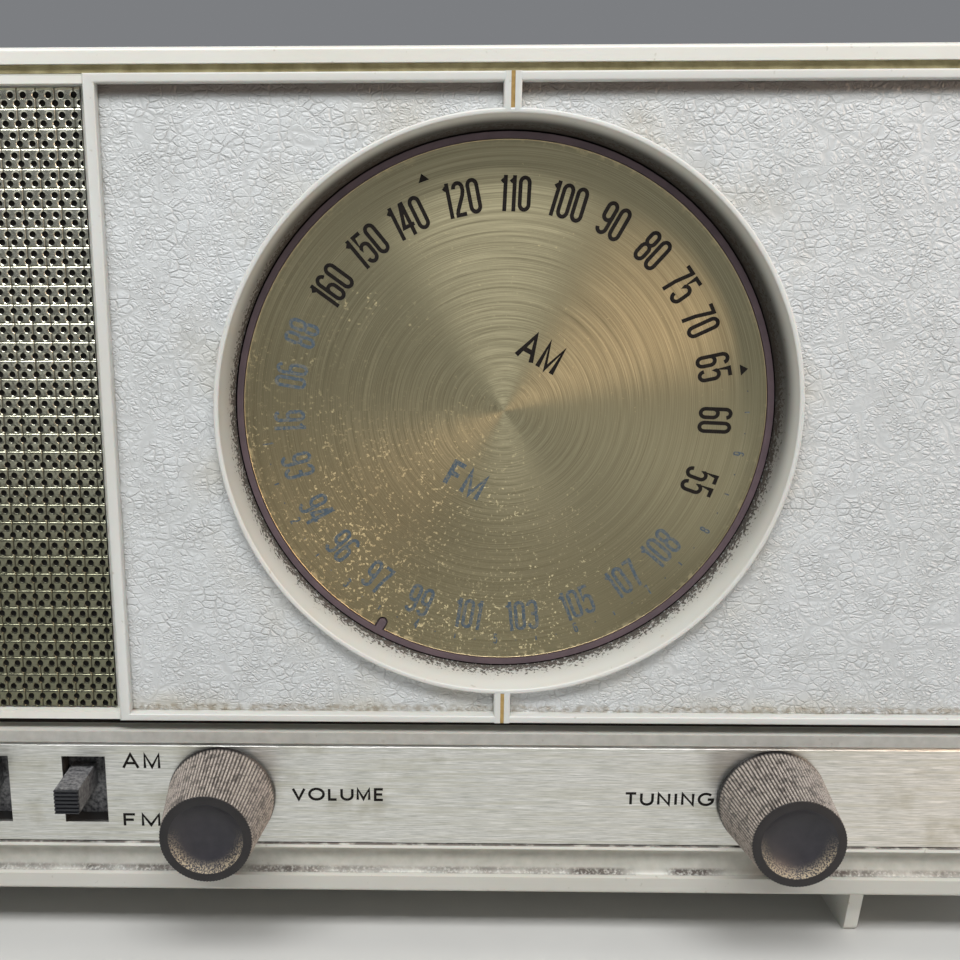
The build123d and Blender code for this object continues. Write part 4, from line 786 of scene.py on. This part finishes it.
def hide_relief(x, z, seed):
    """Height from 0 in a crease to 1 on a pillow: the gap between the nearest and second nearest cell centre."""
    lattice = np.random.default_rng(seed).random((2, LATTICE, LATTICE))
    wave = 0.7 * MM
    u = (x + wave * np.sin(z / (2.3 * MM)) + 1.2 * wave * np.sin(z / (5.1 * MM) + 2)) / CELL
    v = (z + wave * np.sin(x / (2.9 * MM)) + 1.2 * wave * np.sin(x / (6.3 * MM) + 1)) / CELL
    column, row = np.floor(u).astype(int), np.floor(v).astype(int)
    reach = []
    for step_u in (-1, 0, 1):
        for step_v in (-1, 0, 1):
            i, j = column + step_u, row + step_v
            spot_u = i + lattice[0, i % LATTICE, j % LATTICE]
            spot_v = j + lattice[1, i % LATTICE, j % LATTICE]
            reach.append(np.hypot(u - spot_u, v - spot_v))
    reach = np.sort(np.array(reach), axis=0)
    return np.clip((reach[1] - reach[0]) / 0.5, 0, 1) ** 0.8


def field_edge(angles, x_end, x_rib):
    """Start on the bezel of rays from the dial's centre, and where they meet the field's rectangle."""
    way = np.stack([np.cos(angles), np.sin(angles)], axis=-1)
    start = DIAL[[0, 2]] + (BEZEL_OUT - 0.1 * MM) * way
    tall = np.where(way[:, 1] > 0, FIELD_HIGH + 0.05 * MM - DIAL[2], FIELD_LOW - 0.05 * MM - DIAL[2]) / way[:, 1]
    wide = (x_end - DIAL[0]) / way[:, 0]
    end = DIAL[[0, 2]] + np.minimum(np.abs(tall), np.abs(wide))[:, None] * way
    for line in (start, end):
        line[0, 0] = line[-1, 0] = x_rib
    return start, end


def leather_field(name, node, side, seed):
    """Sheet between the bezel's arc and the frame, as a grid of spokes, then given its thickness."""
    x_end = (FRAME_LOW[0] + SIDE_BAR - 0.05 * MM) if side < 0 else (FRAME_HIGH[0] - SIDE_BAR + 0.05 * MM)
    x_rib = DIAL[0] + side * (RIB_HALF - 0.05 * MM)
    corner = np.arctan2([FIELD_HIGH - DIAL[2], DIAL[2] - FIELD_LOW], abs(x_end - DIAL[0]))
    tip = pi / 2 - (x_rib - DIAL[0]) * side / BEZEL_OUT
    spans = [(tip, corner[0], 150), (corner[0], -corner[1], 190), (-corner[1], -tip, 150)]
    angles = np.concatenate([np.linspace(*one, endpoint=False) for one in spans] + [[-tip]])
    angles = angles if side > 0 else pi - angles
    start, end = field_edge(angles, x_end, x_rib)
    share = np.linspace(0, 1, 96 if side > 0 else 86)[None, :, None]
    flat = start[:, None] + (end - start)[:, None] * share
    x, z = flat[..., 0], flat[..., 1]
    deep = INLAY_FACE + 0.05 * MM * (1 - hide_relief(x, z, seed))
    points = np.stack([x, deep, z], axis=-1)
    made = make_piece(name, points, grid_faces(*x.shape), vinyl, "radio", sharp=60)
    if made.data.polygons[0].normal.y > 0:
        made.data.flip_normals()
    wall = made.modifiers.new("thickness", "SOLIDIFY")
    wall.thickness = 0.6 * MM
    wall.offset = -1.0
    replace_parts(made, node)


leather_field("leatherette_field_left", "leatherette_left", -1, 11)
leather_field("leatherette_field_right", "leatherette_right", 1, 12)

# %% [markdown]
# ## Loudspeaker grille
# The sheet is pierced with staggered rows of small holes and stamped into tiles that look like a basket
# weave. One hole with the metal about it is a small cell of twelve spokes, and the cell is repeated by
# arrays. Every tile has two rows of holes, and its top edge curls back over half a millimetre: that narrow
# slope faces the lamp and makes the bright bars. Shallow upright seams every one and a half holes finish
# the weave.

# %% Pierced and stamped sheet
GRILLE_LOW, GRILLE_HIGH = box("speaker_grille")
PITCH = (GRILLE_HIGH[0] - GRILLE_LOW[0]) / GRILLE_HOLES
TILES = 34
TILE = (GRILLE_HIGH[2] - GRILLE_LOW[2]) / TILES
HOLE_R = 0.66 * MM
SHEET = 0.35 * MM
TOP_SLOPE, FOOT_SLOPE = 0.55 * MM, 0.12 * MM
DIMPLE = 0.22 * MM                           # each hole is punched through a dimple this much wider


def stamped(x, top_share):
    """Depth of the stamping behind the sheet's highest points: seams as narrow dips, tile edges as given."""
    seam = (x - GRILLE_LOW[0]) / (SEAM_HOLES * PITCH)
    gap = np.abs(seam - np.round(seam)) * SEAM_HOLES * PITCH
    return 0.10 * MM * np.exp(-(gap / (0.35 * MM)) ** 2) + 0.32 * MM * top_share


def spoke_cells(centre_x, hole_z, cell_low, cell_high):
    """Cells about many holes as rings of twelve points: front edge, dimple, hole's front and back, back edge."""
    across = np.array([-2, -1, 0, 1, 2, 2, 2, 1, 0, -1, -2, -2]) * PITCH / 4
    rise = np.array([0, 0, 0, 0, 0, 0.5, 1, 1, 1, 1, 1, 0.5])
    turn = np.radians([-145, -118, -90, -62, -35, 0, 35, 62, 90, 118, 145, 180])
    edge_x = centre_x[:, None] + across
    edge_z = cell_low[:, None] + (cell_high - cell_low)[:, None] * rise
    hole_x = centre_x[:, None] + HOLE_R * np.cos(turn)
    round_z = hole_z[:, None] + HOLE_R * np.sin(turn)
    rim_x = centre_x[:, None] + (HOLE_R + DIMPLE) * np.cos(turn)
    rim_z = hole_z[:, None] + (HOLE_R + DIMPLE) * np.sin(turn)
    x = np.stack([edge_x, rim_x, hole_x, hole_x, edge_x], axis=1)
    z = np.stack([edge_z, rim_z, round_z, round_z, edge_z], axis=1)
    back = np.array([0, 0, 0.4, 1, 1])[None, :, None] * SHEET
    return np.stack([x, stamped(x, 0) + back, z], axis=-1)


def ring_faces(count, rings, spokes):
    """Quads between the rings of every cell."""
    one = grid_faces(rings, spokes, round_columns=True)
    return (one[None] + (np.arange(count) * rings * spokes)[:, None, None]).reshape(-1, 4)


def grille_part(name, tiles):
    """Some of the tile rows, as one closed sheet."""
    points, faces, first = [], [], 0
    for tile in tiles:
        top = GRILLE_HIGH[2] - tile * TILE
        middle_z = top - TOP_SLOPE - 0.55 * (TILE - TOP_SLOPE - FOOT_SLOPE)
        rows = [((top - TOP_SLOPE + middle_z) / 2, middle_z, top - TOP_SLOPE, 0.0),
                ((middle_z + top - TILE + FOOT_SLOPE) / 2, top - TILE + FOOT_SLOPE, middle_z, 0.5)]
        for hole_z, cell_low, cell_high, shift in rows:
            count = GRILLE_HOLES + (shift > 0)
            centre_x = GRILLE_LOW[0] + (np.arange(count) + 0.5 - shift) * PITCH
            even = np.ones(count)
            cells = spoke_cells(centre_x, hole_z * even, cell_low * even, cell_high * even)
            points.append(cells.reshape(-1, 3))
            faces.append(ring_faces(count, 5, 12) + first)
            first += cells.size // 3
        x = GRILLE_LOW[0] + np.arange(GRILLE_HOLES * 4 + 1) * PITCH / 4
        for fall, shares in ((TOP_SLOPE * np.array([0, 0.27, 0.63, 1]), (1, 0.45, 0.12, 0)),
                             (np.array([TILE - FOOT_SLOPE, TILE]), (0, 1))):
            front = [np.stack([x, stamped(x, share), np.full_like(x, top - drop)], -1)
                     for drop, share in zip(fall, shares)]
            back = [row + (0, SHEET, 0) for row in (front[-1], front[0])]
            slab = np.stack(front + back)
            points.append(slab.reshape(-1, 3))
            quads = grid_faces(len(slab), len(x))
            faces.append(quads[(quads[:, 0] // len(x)) != len(front) - 1] + first)
            first += slab.size // 3
    points = np.vstack(points)
    points[:, 0] = np.clip(points[:, 0], GRILLE_LOW[0], GRILLE_HIGH[0])
    points[:, 1] += GRILLE_LOW[1]
    made = make_piece(name, points, np.vstack(faces), weave_metal, "radio", sharp=50)
    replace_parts(made, "speaker_grille")


grille_part("speaker_grille_upper", range(0, 11))
grille_part("speaker_grille_middle", range(11, 22))
grille_part("speaker_grille_lower", range(22, TILES))

# %% [markdown]
# ## Cloth and dust
# Black cloth behind the grille makes its holes look dark, and dust is packed into the groove over the
# frame. Both are flat and are seen only through holes or in a gap, so a thin closed sheet is enough.

# %% Cloth behind the grille and dust in the top groove
def slab(name, low, high, skin, slot):
    """Thin closed sheet between two corners."""
    x, y, z = zip(low, high)
    front = [(x[0], y[0], z[0]), (x[1], y[0], z[0]), (x[1], y[0], z[1]), (x[0], y[0], z[1])]
    back = [(across, y[1], up) for across, _, up in front]
    faces = [[0, 1, 2, 3], [7, 6, 5, 4]] + [[n, n + 4, (n + 1) % 4 + 4, (n + 1) % 4] for n in range(4)]
    make_piece(name, front + back, faces, skin, "radio")


cloth = plain("black speaker cloth", "#0A0A0A", "#141312", 0.8, rough=(0.9, 1.0), bump=0.8)
dust = plain("packed dust", "#7F7651", "#A89F78", 3.0, rough=(0.85, 1.0), bump=0.9)
slab("grille_cloth", (GRILLE_LOW[0], GRILLE_HIGH[1] - 0.08 * MM, GRILLE_LOW[2]),
     (GRILLE_HIGH[0], GRILLE_HIGH[1] - 0.02 * MM, GRILLE_HIGH[2]), cloth, "paper_black")
GROOVE = 1.6 * MM
slab("top_groove_dust", (-FRAME_HIGH[0], FRONT + 0.9 * MM, FRAME_HIGH[2] + 0.02 * MM),
     (FRAME_HIGH[0], FRONT + 1.5 * MM, FRAME_HIGH[2] + GROOVE - 0.02 * MM), dust, "felt_grey")

# %% [markdown]
# ## Knobs
# A knob is a section turned about its shaft: a dish in the end, a narrow lip, a long taper and a smooth
# collar. On the taper the radius also depends on the angle: ninety narrow flutes are cut into it, from the
# lip's edge to a little before the collar.

# %% Fluted and dished knobs
FLUTES = 90
FLUTE_DEPTH = 0.34 * MM
TIP_R, LIP = 9.6 * MM, 0.25 * MM             # radius at the tip and of the lip's rounding
DISH_R, DISH_DEEP, DISH_ROWS = 7.7 * MM, 2.4 * MM, 12
SOCKET_R, SOCKET_DEEP = 8.6 * MM, 8.9 * MM   # ring-shaped hollow at the back
HUB_R, BORE_R, BORE_DEEP = 5.2 * MM, 3.0 * MM, 12.9 * MM


def knob_section(length, tip_r, base_r):
    """Radius and distance from the tip, from the dish's middle over the lip and the taper to the hollow back."""
    dish = np.linspace(0, 1, DISH_ROWS)
    inside = np.stack([dish * DISH_R, DISH_DEEP * (1 - dish ** 2.6)], axis=-1)
    lip = np.vstack([[(DISH_R + 0.08 * MM, 0)], bend(tip_r - LIP, LIP, LIP, -90, 0, 4)])
    along = np.linspace(0, 1, 28)
    taper_from, taper_to = 0.4 * MM, length - 0.4 * MM
    side = np.stack([tip_r + (base_r - tip_r) * along, taper_from + (taper_to - taper_from) * along], axis=-1)
    base = bend(base_r - 0.3 * MM, length - 0.3 * MM, 0.3 * MM, 0, 90)
    socket, bore = length - SOCKET_DEEP, length - BORE_DEEP
    hollow = np.array([(SOCKET_R, length), (SOCKET_R, socket), (HUB_R, socket), (HUB_R, length),
                       (BORE_R, length), (BORE_R, bore), (0, bore)])
    return np.vstack([inside, lip, side, base, hollow])


def knob(name, node, body):
    """Turned section whose radius dips by the flutes; ridges, dish and brink are kept as attributes."""
    low, high = box(node)
    centre = (low + high) / 2
    section = knob_section(high[1] - low[1], TIP_R, (high[0] - low[0]) / 2)
    turns = FLUTES * 6
    grid = turned(np.stack([section[:, 0], low[1] + section[:, 1]], axis=-1), turns, centre)
    deep = section[:, 1]
    on_side = section[:, 0] >= TIP_R - 0.3 * MM
    end = (high[1] - low[1]) - 1.2 * MM
    fade = np.clip(deep / (0.15 * MM), 0, 1) * np.clip((end - deep) / (0.5 * MM), 0, 1) * on_side
    angle = np.arange(turns) * 2 * pi / turns
    dip = (1 - np.abs(np.sin(angle * FLUTES / 2))) ** 1.3
    cut = dip[:, None] * fade[None, :]
    out = grid - (centre[0], 0, centre[2])
    out[..., 1] = 0
    out /= np.maximum(np.linalg.norm(out, axis=-1, keepdims=True), 1e-9)
    grid = grid - out * (cut * FLUTE_DEPTH)[..., None]
    in_dish = np.arange(len(section)) < DISH_ROWS
    dish = np.broadcast_to(in_dish.astype(float), cut.shape)
    brink = np.broadcast_to(in_dish * np.clip(section[:, 0] / DISH_R, 0, 1) ** 2, cut.shape)
    ridge = (1 - dip)[:, None] * (fade * (deep > 0.13 * MM))[None, :]
    faces = grid_faces(turns, len(section), round_rows=True)
    made = make_piece(name, grid, faces, knob_brown, body, sharp=24,
                      attributes={"ridge": ridge, "dish": dish, "brink": brink})
    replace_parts(made, node)


knob("volume_knob_fluted", "volume_knob", "volume_control")
knob("tuning_knob_fluted", "tuning_knob", "tuning_control")

# %% [markdown]
# ## Figures on the dial
# The scale's figures are tall and narrow with strokes of one even width, as engraved lettering has. So each
# figure is drawn as the path of a pen, from arcs and straight runs, and a low flat section is carried along
# it. The unit is half a figure's width: a figure is 2 wide and 6 high between the middles of its strokes.
# The AM figures stand with their tops outwards and the FM figures with their tops to the centre.

# %% Pen paths of the figures
def arc(x, y, wide, high, start, end, steps=13):
    """Points of an arc of an ellipse, from one angle to another, in degrees."""
    turn = np.radians(np.linspace(start, end, steps))
    return np.stack([x + wide * np.cos(turn), y + high * np.sin(turn)], axis=-1)


def run(*points):
    """Straight runs through points."""
    return np.array(points, dtype=float)


six = [(np.vstack([arc(0, 2, 1, 1, 12, 180), arc(0, -2, 1, 1, 180, 360), arc(0, -0.5, 1, 0.95, 0, 172)]), False)]
FIGURES = {
    "0": [(np.vstack([arc(0, 2, 1, 1, 0, 180), arc(0, -2, 1, 1, 180, 360)]), True)],
    "1": [(run((0.3, -3.38), (0.3, 3.38)), False), (run((0.3, 2.75), (-0.55, 2.1)), False)],
    "2": [(np.vstack([arc(0, 2, 1, 1, 180, 0),
                      run((1, 1.4), (0.75, 0.6), (-0.7, -2.0), (-0.95, -2.7), (-0.95, -3), (1.05, -3))]), False)],
    "3": [(np.vstack([arc(0, 2, 1, 1, 180, 0), arc(0.25, 0.95, 0.75, 0.75, 0, -90), run((-0.35, 0.2))]), False),
          (np.vstack([run((-0.35, 0.2)), arc(0.25, -0.55, 0.75, 0.75, 90, 0),
                      arc(0, -2, 1, 1, 0, -180)]), False)],
    "4": [(run((0.25, 3.3), (-1.15, -1.35), (1.35, -1.35)), False), (run((0.5, 3.38), (0.5, -3.38)), False)],
    "5": [(np.vstack([run((1, 3), (-0.85, 3), (-0.9, 0.25)), arc(0, -0.1, 1, 0.95, 150, 0),
                      arc(0, -2, 1, 1, 0, -180)]), False)],
    "6": six,
    "7": [(run((-1.1, 3), (1.0, 3), (0.95, 2.6), (0.15, -0.6), (-0.1, -3.38)), False)],
    "8": [(np.vstack([arc(0, 2.05, 0.95, 0.95, 0, 180), arc(0, 1.15, 0.95, 0.95, 180, 360)]), True),
          (np.vstack([arc(0, -0.8, 1, 1, 0, 180), arc(0, -2, 1, 1, 180, 360)]), True)],
    "9": [(-path, closed) for path, closed in six],
}
print("drew", len(FIGURES), "figures")

# %% [markdown]
# ## From paths to ink
# Printed ink stands a few hundredths of a millimetre above the metal. A box section as wide as the stroke
# is carried along each path, square to it, and mitred where the path turns. Numbers are then laid round the
# dial.

# %% Lines carried along the paths
INK = 0.03 * MM


def pen_line(path, closed, width, lift):
    """Low box section carried along a flat path, mitred at each point: four rows of points, (x, y, height).

    The film thickens slowly along its path, so that where strokes cross no two faces share a plane.
    """
    step = np.roll(path, -1, axis=0) - path
    back = path - np.roll(path, 1, axis=0)
    if not closed:
        step[-1], back[0] = back[-1], step[0]
    step /= np.maximum(np.linalg.norm(step, axis=1, keepdims=True), 1e-9)
    back /= np.maximum(np.linalg.norm(back, axis=1, keepdims=True), 1e-9)
    way = step + back
    way /= np.maximum(np.linalg.norm(way, axis=1, keepdims=True), 1e-9)
    side = np.stack([-way[:, 1], way[:, 0]], axis=-1)
    stretch = 1 / np.maximum((way * step).sum(axis=1, keepdims=True), 0.5)
    left, right = path + side * stretch * width / 2, path - side * stretch * width / 2
    height = np.linspace(0.7, 1.0, len(path))[:, None] * (1 + 0.5 * closed) + lift
    return np.stack([np.hstack([left, 0 * height]), np.hstack([left, height]),
                     np.hstack([right, height]), np.hstack([right, 0 * height])], axis=1)


def without_doubles(path, closed):
    """Path with repeated points dropped."""
    step = np.linalg.norm(path - np.roll(path, 1, axis=0), axis=1)
    keep = step > 1e-6
    keep[0] = keep[0] or not closed
    return path[keep]


def print_lines(lines, width):
    """All pen lines joined: points as (x, y, height) and faces, with ends closed."""
    points, faces, first = [], [], 0
    for number, (path, closed) in enumerate(lines):
        rows = pen_line(without_doubles(path, closed), closed, width, 0.25 * (number % 3))
        faces += [list(face) for face in grid_faces(len(rows), 4, round_rows=closed, round_columns=True) + first]
        if not closed:
            last = first + 4 * (len(rows) - 1)
            faces += [[first, first + 1, first + 2, first + 3], [last + 3, last + 2, last + 1, last]]
        points.append(rows.reshape(-1, 3))
        first += 4 * len(rows)
    return np.vstack(points), faces


def number_lines(text, unit):
    """Pen lines of a number set in a row about its middle; a one takes less room."""
    widths = [1.75 if figure == "1" else 2.8 for figure in text]
    starts = np.concatenate([[0], np.cumsum(widths)]) - sum(widths) / 2
    lines = []
    for figure, start, width in zip(text, starts, widths):
        lines += [((path * (0.86, 1) + (start + width / 2, 0)) * unit, closed)
                  for path, closed in FIGURES[figure]]
    return lines


def on_dial(path, reach, angle, outwards):
    """Path laid on the dial at a radius and an angle clockwise from the top, its top outwards or inwards."""
    turn = radians(angle)
    out, along = np.array([sin(turn), cos(turn)]), np.array([cos(turn), -sin(turn)])
    sign = 1 if outwards else -1
    return DIAL[[0, 2]] + reach * out + sign * (path[:, :1] * along + path[:, 1:] * out)


def dial_print(name, lines, width, skin):
    """Lines printed on the plate as one piece that turns with the dial."""
    points, faces = print_lines(lines, width)
    placed = np.stack([points[:, 0], DISC_FACE + INK * (0.5 - 1.5 * points[:, 2]), points[:, 1]], axis=-1)
    make_piece(name, placed, faces, skin, "dial", sharp=30)


AM_SCALE = {"160": -54, "150": -40, "140": -27, "120": -12, "110": 2, "100": 16, "90": 29, "80": 42, "75": 54,
            "70": 65, "65": 78, "60": 92.5, "55": 110}
FM_SCALE = {"88": -69, "90": -80.5, "91": -92.5, "93": -105, "94": -118, "96": -130.5, "97": -143.5, "99": -157,
            "101": -171, "103": -186, "105": -201.5, "107": -216, "108": -229}
UNIT = 1.05 * MM
STROKE = 0.8 * MM
am_lines = [(on_dial(path, 44.4 * MM, angle, True), closed)
            for text, angle in AM_SCALE.items() for path, closed in number_lines(text, UNIT)]
fm_lines = [(on_dial(path, 45.4 * MM, angle, False), closed)
            for text, angle in FM_SCALE.items() for path, closed in number_lines(text, 0.95 * UNIT)]
dial_print("am_scale_figures", am_lines, STROKE, ink_black)
dial_print("fm_scale_figures", fm_lines, 0.92 * STROKE, ink_faded)

# %% [markdown]
# ## Edge of the plate
# The plate's cut edge shows as a thin bright line, broken at the notch for the carrier's tab. It is a
# six-sided section carried round a circle: x = r cos, z = r sin.

# %% Bright edge of the plate
NOTCH, NOTCH_HALF = 241, 1.3                 # degrees: where the tab's notch is, and half its width
EDGE_STEPS = 360


def plate_edge():
    """Thin rounded line of bare brass round the plate's edge, open at the notch for the carrier's tab."""
    angle = radians(NOTCH) + np.linspace(radians(NOTCH_HALF), 2 * pi - radians(NOTCH_HALF), EDGE_STEPS)
    turn = np.radians(np.arange(0, 360, 60))
    radius = DISC_R - 0.10 * MM + 0.10 * MM * np.cos(turn)
    deep = DISC_FACE + 0.05 * MM + 0.10 * MM * np.sin(turn)
    x = DIAL[0] + np.cos(angle)[:, None] * radius
    z = DIAL[2] + np.sin(angle)[:, None] * radius
    points = np.stack([x, np.broadcast_to(deep, x.shape), z], axis=-1)
    faces = [list(face) for face in grid_faces(EDGE_STEPS, 6, round_columns=True)]
    faces += [list(range(6)), list(range((EDGE_STEPS - 1) * 6, EDGE_STEPS * 6))]
    bare = plain("bare brass edge", "#C9B48C", "#DCCBA2", 2, rough=(0.25, 0.4), metallic=1.0)
    make_piece("scale_plate_edge", points, faces, bare, "dial", sharp=80)


plate_edge()

# %% [markdown]
# ## Small marks on the dial
# Two black triangles stand outside the AM figures. A logging scale of tiny faded figures runs outside the
# FM ones, with a dash and a dot between neighbours.

# %% Triangles and logging scale
def triangles(angles, reach, size):
    """Low three-sided prisms that point outwards."""
    corner = np.radians([90, 210, 330])
    shape = size * np.stack([np.cos(corner), 0.8 * np.sin(corner)], axis=-1)
    points, faces = [], []
    for number, angle in enumerate(angles):
        flat = on_dial(shape, reach, angle, True)
        rows = [np.stack([flat[:, 0], np.full(3, DISC_FACE + lift), flat[:, 1]], -1)
                for lift in (0.5 * INK, -INK)]
        points += rows
        base = 6 * number
        faces += [[base, base + 1, base + 2], [base + 3, base + 4, base + 5]]
        faces += [list(face) for face in grid_faces(2, 3, round_columns=True) + base]
    make_piece("am_scale_triangles", np.vstack(points), faces, ink_black, "dial", sharp=30)


triangles((-20, 80), 50.3 * MM, 1.35 * MM)
LOG_START, LOG_STEP, LOG_REACH = -98.0, -20.2, 50.6 * MM
log_lines = []
for number in range(1, 10):
    place = LOG_START + LOG_STEP * (number - 1)
    digits = number_lines(str(number), 0.34 * MM)
    log_lines += [(on_dial(path, LOG_REACH, place, False), closed) for path, closed in digits]
    dash = run((0, -0.5 * MM), (0, 0.5 * MM))
    log_lines.append((on_dial(dash, LOG_REACH + 0.4 * MM, place + LOG_STEP / 2, False), False))
    dot = run((0, -0.12 * MM), (0, 0.12 * MM))
    log_lines += [(on_dial(dot, LOG_REACH + 0.4 * MM, place + LOG_STEP * share, False), False)
                  for share in (0.25, 0.75)]
dial_print("logging_scale", log_lines, 0.32 * MM, ink_faded)

# %% [markdown]
# ## Words
# The band names on the dial and the words on the strip are plain capitals with strokes of one width, so
# they are drawn by the same pen. Each letter's path is 2 high; a word's letters are set in a row, and the
# row is stretched to the width and height it has on the object.

# %% Words on the dial and on the strip
LETTERS = {
    "A": (1.8, [run((-0.9, -1), (0, 1), (0.9, -1)), run((-0.58, -0.3), (0.58, -0.3))]),
    "M": (1.8, [run((-0.85, -1), (-0.85, 1), (0, -0.85), (0.85, 1), (0.85, -1))]),
    "F": (1.2, [run((0.6, 1), (-0.5, 1), (-0.5, -1)), run((-0.5, 0.05), (0.45, 0.05))]),
    "V": (1.7, [run((-0.85, 1), (0, -1), (0.85, 1))]),
    "O": (2.1, [arc(0, 0, 1.05, 1, 0, 360, 33)]),
    "L": (1.2, [run((-0.5, 1), (-0.5, -1), (0.6, -1))]),
    "U": (1.6, [np.vstack([run((-0.8, 1)), arc(0, -0.2, 0.8, 0.8, 180, 360), run((0.8, 1))])]),
    "E": (1.3, [run((0.6, 1), (-0.55, 1), (-0.55, -1), (0.6, -1)), run((-0.55, 0.03), (0.5, 0.03))]),
    "T": (1.5, [run((-0.75, 1), (0.75, 1)), run((0, 1), (0, -1))]),
    "N": (1.7, [run((-0.75, -1), (-0.75, 1), (0.75, -1), (0.75, 1))]),
    "I": (0.2, [run((0, -1), (0, 1))]),
    "G": (2.0, [np.vstack([arc(0, 0, 1, 1, 45, 345, 25), run((0.98, -0.02), (0.25, -0.02))])]),
}
GAP = 0.75


def word(name, text, centre, wide, high, turn, stroke, face, skin, body):
    """Word of this width and height about a centre, turned clockwise in degrees, just in front of a face."""
    widths = [LETTERS[letter][0] for letter in text]
    total = sum(widths) + GAP * (len(text) - 1)
    lines, start = [], -total / 2
    scale = ((wide - stroke) / total, (high - stroke) / 2)
    for letter, width in zip(text, widths):
        lines += [((path + (start + width / 2, 0)) * scale, letter == "O") for path in LETTERS[letter][1]]
        start += width + GAP
    points, faces = print_lines(lines, stroke)
    angle = -radians(turn)
    x = centre[0] + points[:, 0] * cos(angle) - points[:, 1] * sin(angle)
    z = centre[1] + points[:, 0] * sin(angle) + points[:, 1] * cos(angle)
    placed = np.stack([x, face + INK * (0.5 - 1.5 * points[:, 2]), z], axis=-1)
    make_piece(name, placed, faces, skin, body, sharp=30)


def dial_spot(reach, angle):
    """X and Z at a radius and an angle clockwise from the dial's top."""
    return DIAL[0] + reach * sin(radians(angle)), DIAL[2] + reach * cos(radians(angle))


word("band_name_am", "AM", dial_spot(14.2 * MM, 31), 9.4 * MM, 6.4 * MM, 29, 1.0 * MM, DISC_FACE, ink_black,
     "dial")
word("band_name_fm", "FM", dial_spot(17.0 * MM, -152), 8.8 * MM, 6.2 * MM, 29, 1.0 * MM, DISC_FACE, ink_faded,
     "dial")
STRIP_WORDS = {"legend_am": ("AM", (-19.4, -10.8), (41.5, 45.3)),
               "legend_fm": ("FM", (-20.0, -11.4), (27.6, 30.9)),
               "legend_volume": ("VOLUME", (17.9, 38.4), (34.3, 37.4)),
               "legend_tuning": ("TUNING", (91.0, 110.7), (33.7, 36.9))}
for name, (text, (left, right), (foot, head)) in STRIP_WORDS.items():
    centre = ((left + right) / 2 * MM, (foot + head) / 2 * MM)
    word(name, text, centre, (right - left) * MM, (head - foot) * MM, 0, 0.58 * MM, STRIP_FACE, ink_black,
         "radio")

# %% [markdown]
# ## Light and floor
# A wide soft lamp stands above and in front. It makes the shadow under the frame's top bar and the bright
# wedge at the top of the dial. A warm card on the right gives the copper wedge across the dial: it is seen
# in the gloss of metal only and lights nothing matt. A weak lamp behind fills the back. The room's own
# light is weak, so hollows stay dark.

# %% Studio light and floor
world = bpy.data.worlds.new("studio")
bpy.context.scene.world = world
world.use_nodes = True
room = world.node_tree.nodes["Background"]
room.inputs["Color"].default_value = (0.92, 0.95, 1.0, 1)
room.inputs["Strength"].default_value = 0.22


def area_light(name, place, target, wide, tall, power, colour=(1, 1, 1)):
    """Rectangular lamp at place, turned towards target."""
    lamp = bpy.data.lights.new(name, "AREA")
    lamp.shape = "RECTANGLE"
    lamp.size, lamp.size_y = wide, tall
    lamp.energy = power
    lamp.color = colour
    holder = bpy.data.objects.new(name, lamp)
    holder.location = place
    holder.rotation_euler = (Vector(target) - Vector(place)).to_track_quat("-Z", "Y").to_euler()
    bpy.context.scene.collection.objects.link(holder)
    return holder


area_light("key", (0.02, -0.64, 0.94), (0.02, 0, 0.1), wide=1.0, tall=0.26, power=12)
card = area_light("warm card", (0.85, -0.58, 0.52), (0.06, 0, 0.12), wide=0.5, tall=0.8, power=11,
                  colour=(1.0, 0.72, 0.52))
card.visible_diffuse = False
area_light("back fill", (-0.5, 1.1, 0.7), (0, 0, 0.1), wide=0.8, tall=0.5, power=5)
bpy.context.scene.view_settings.view_transform = "Standard"

floor_mesh = bpy.data.meshes.new("floor")
floor_mesh.from_pydata([(-3, -3, 0), (3, -3, 0), (3, 3, 0), (-3, 3, 0)], [], [(0, 1, 2, 3)])
floor = bpy.data.objects.new("floor", floor_mesh)
bpy.context.scene.collection.objects.link(floor)
floor_mesh.materials.append(plain("pale floor", "#C9C9C6", "#CFCFCC", 60, rough=(0.6, 0.7), bump=0.05))
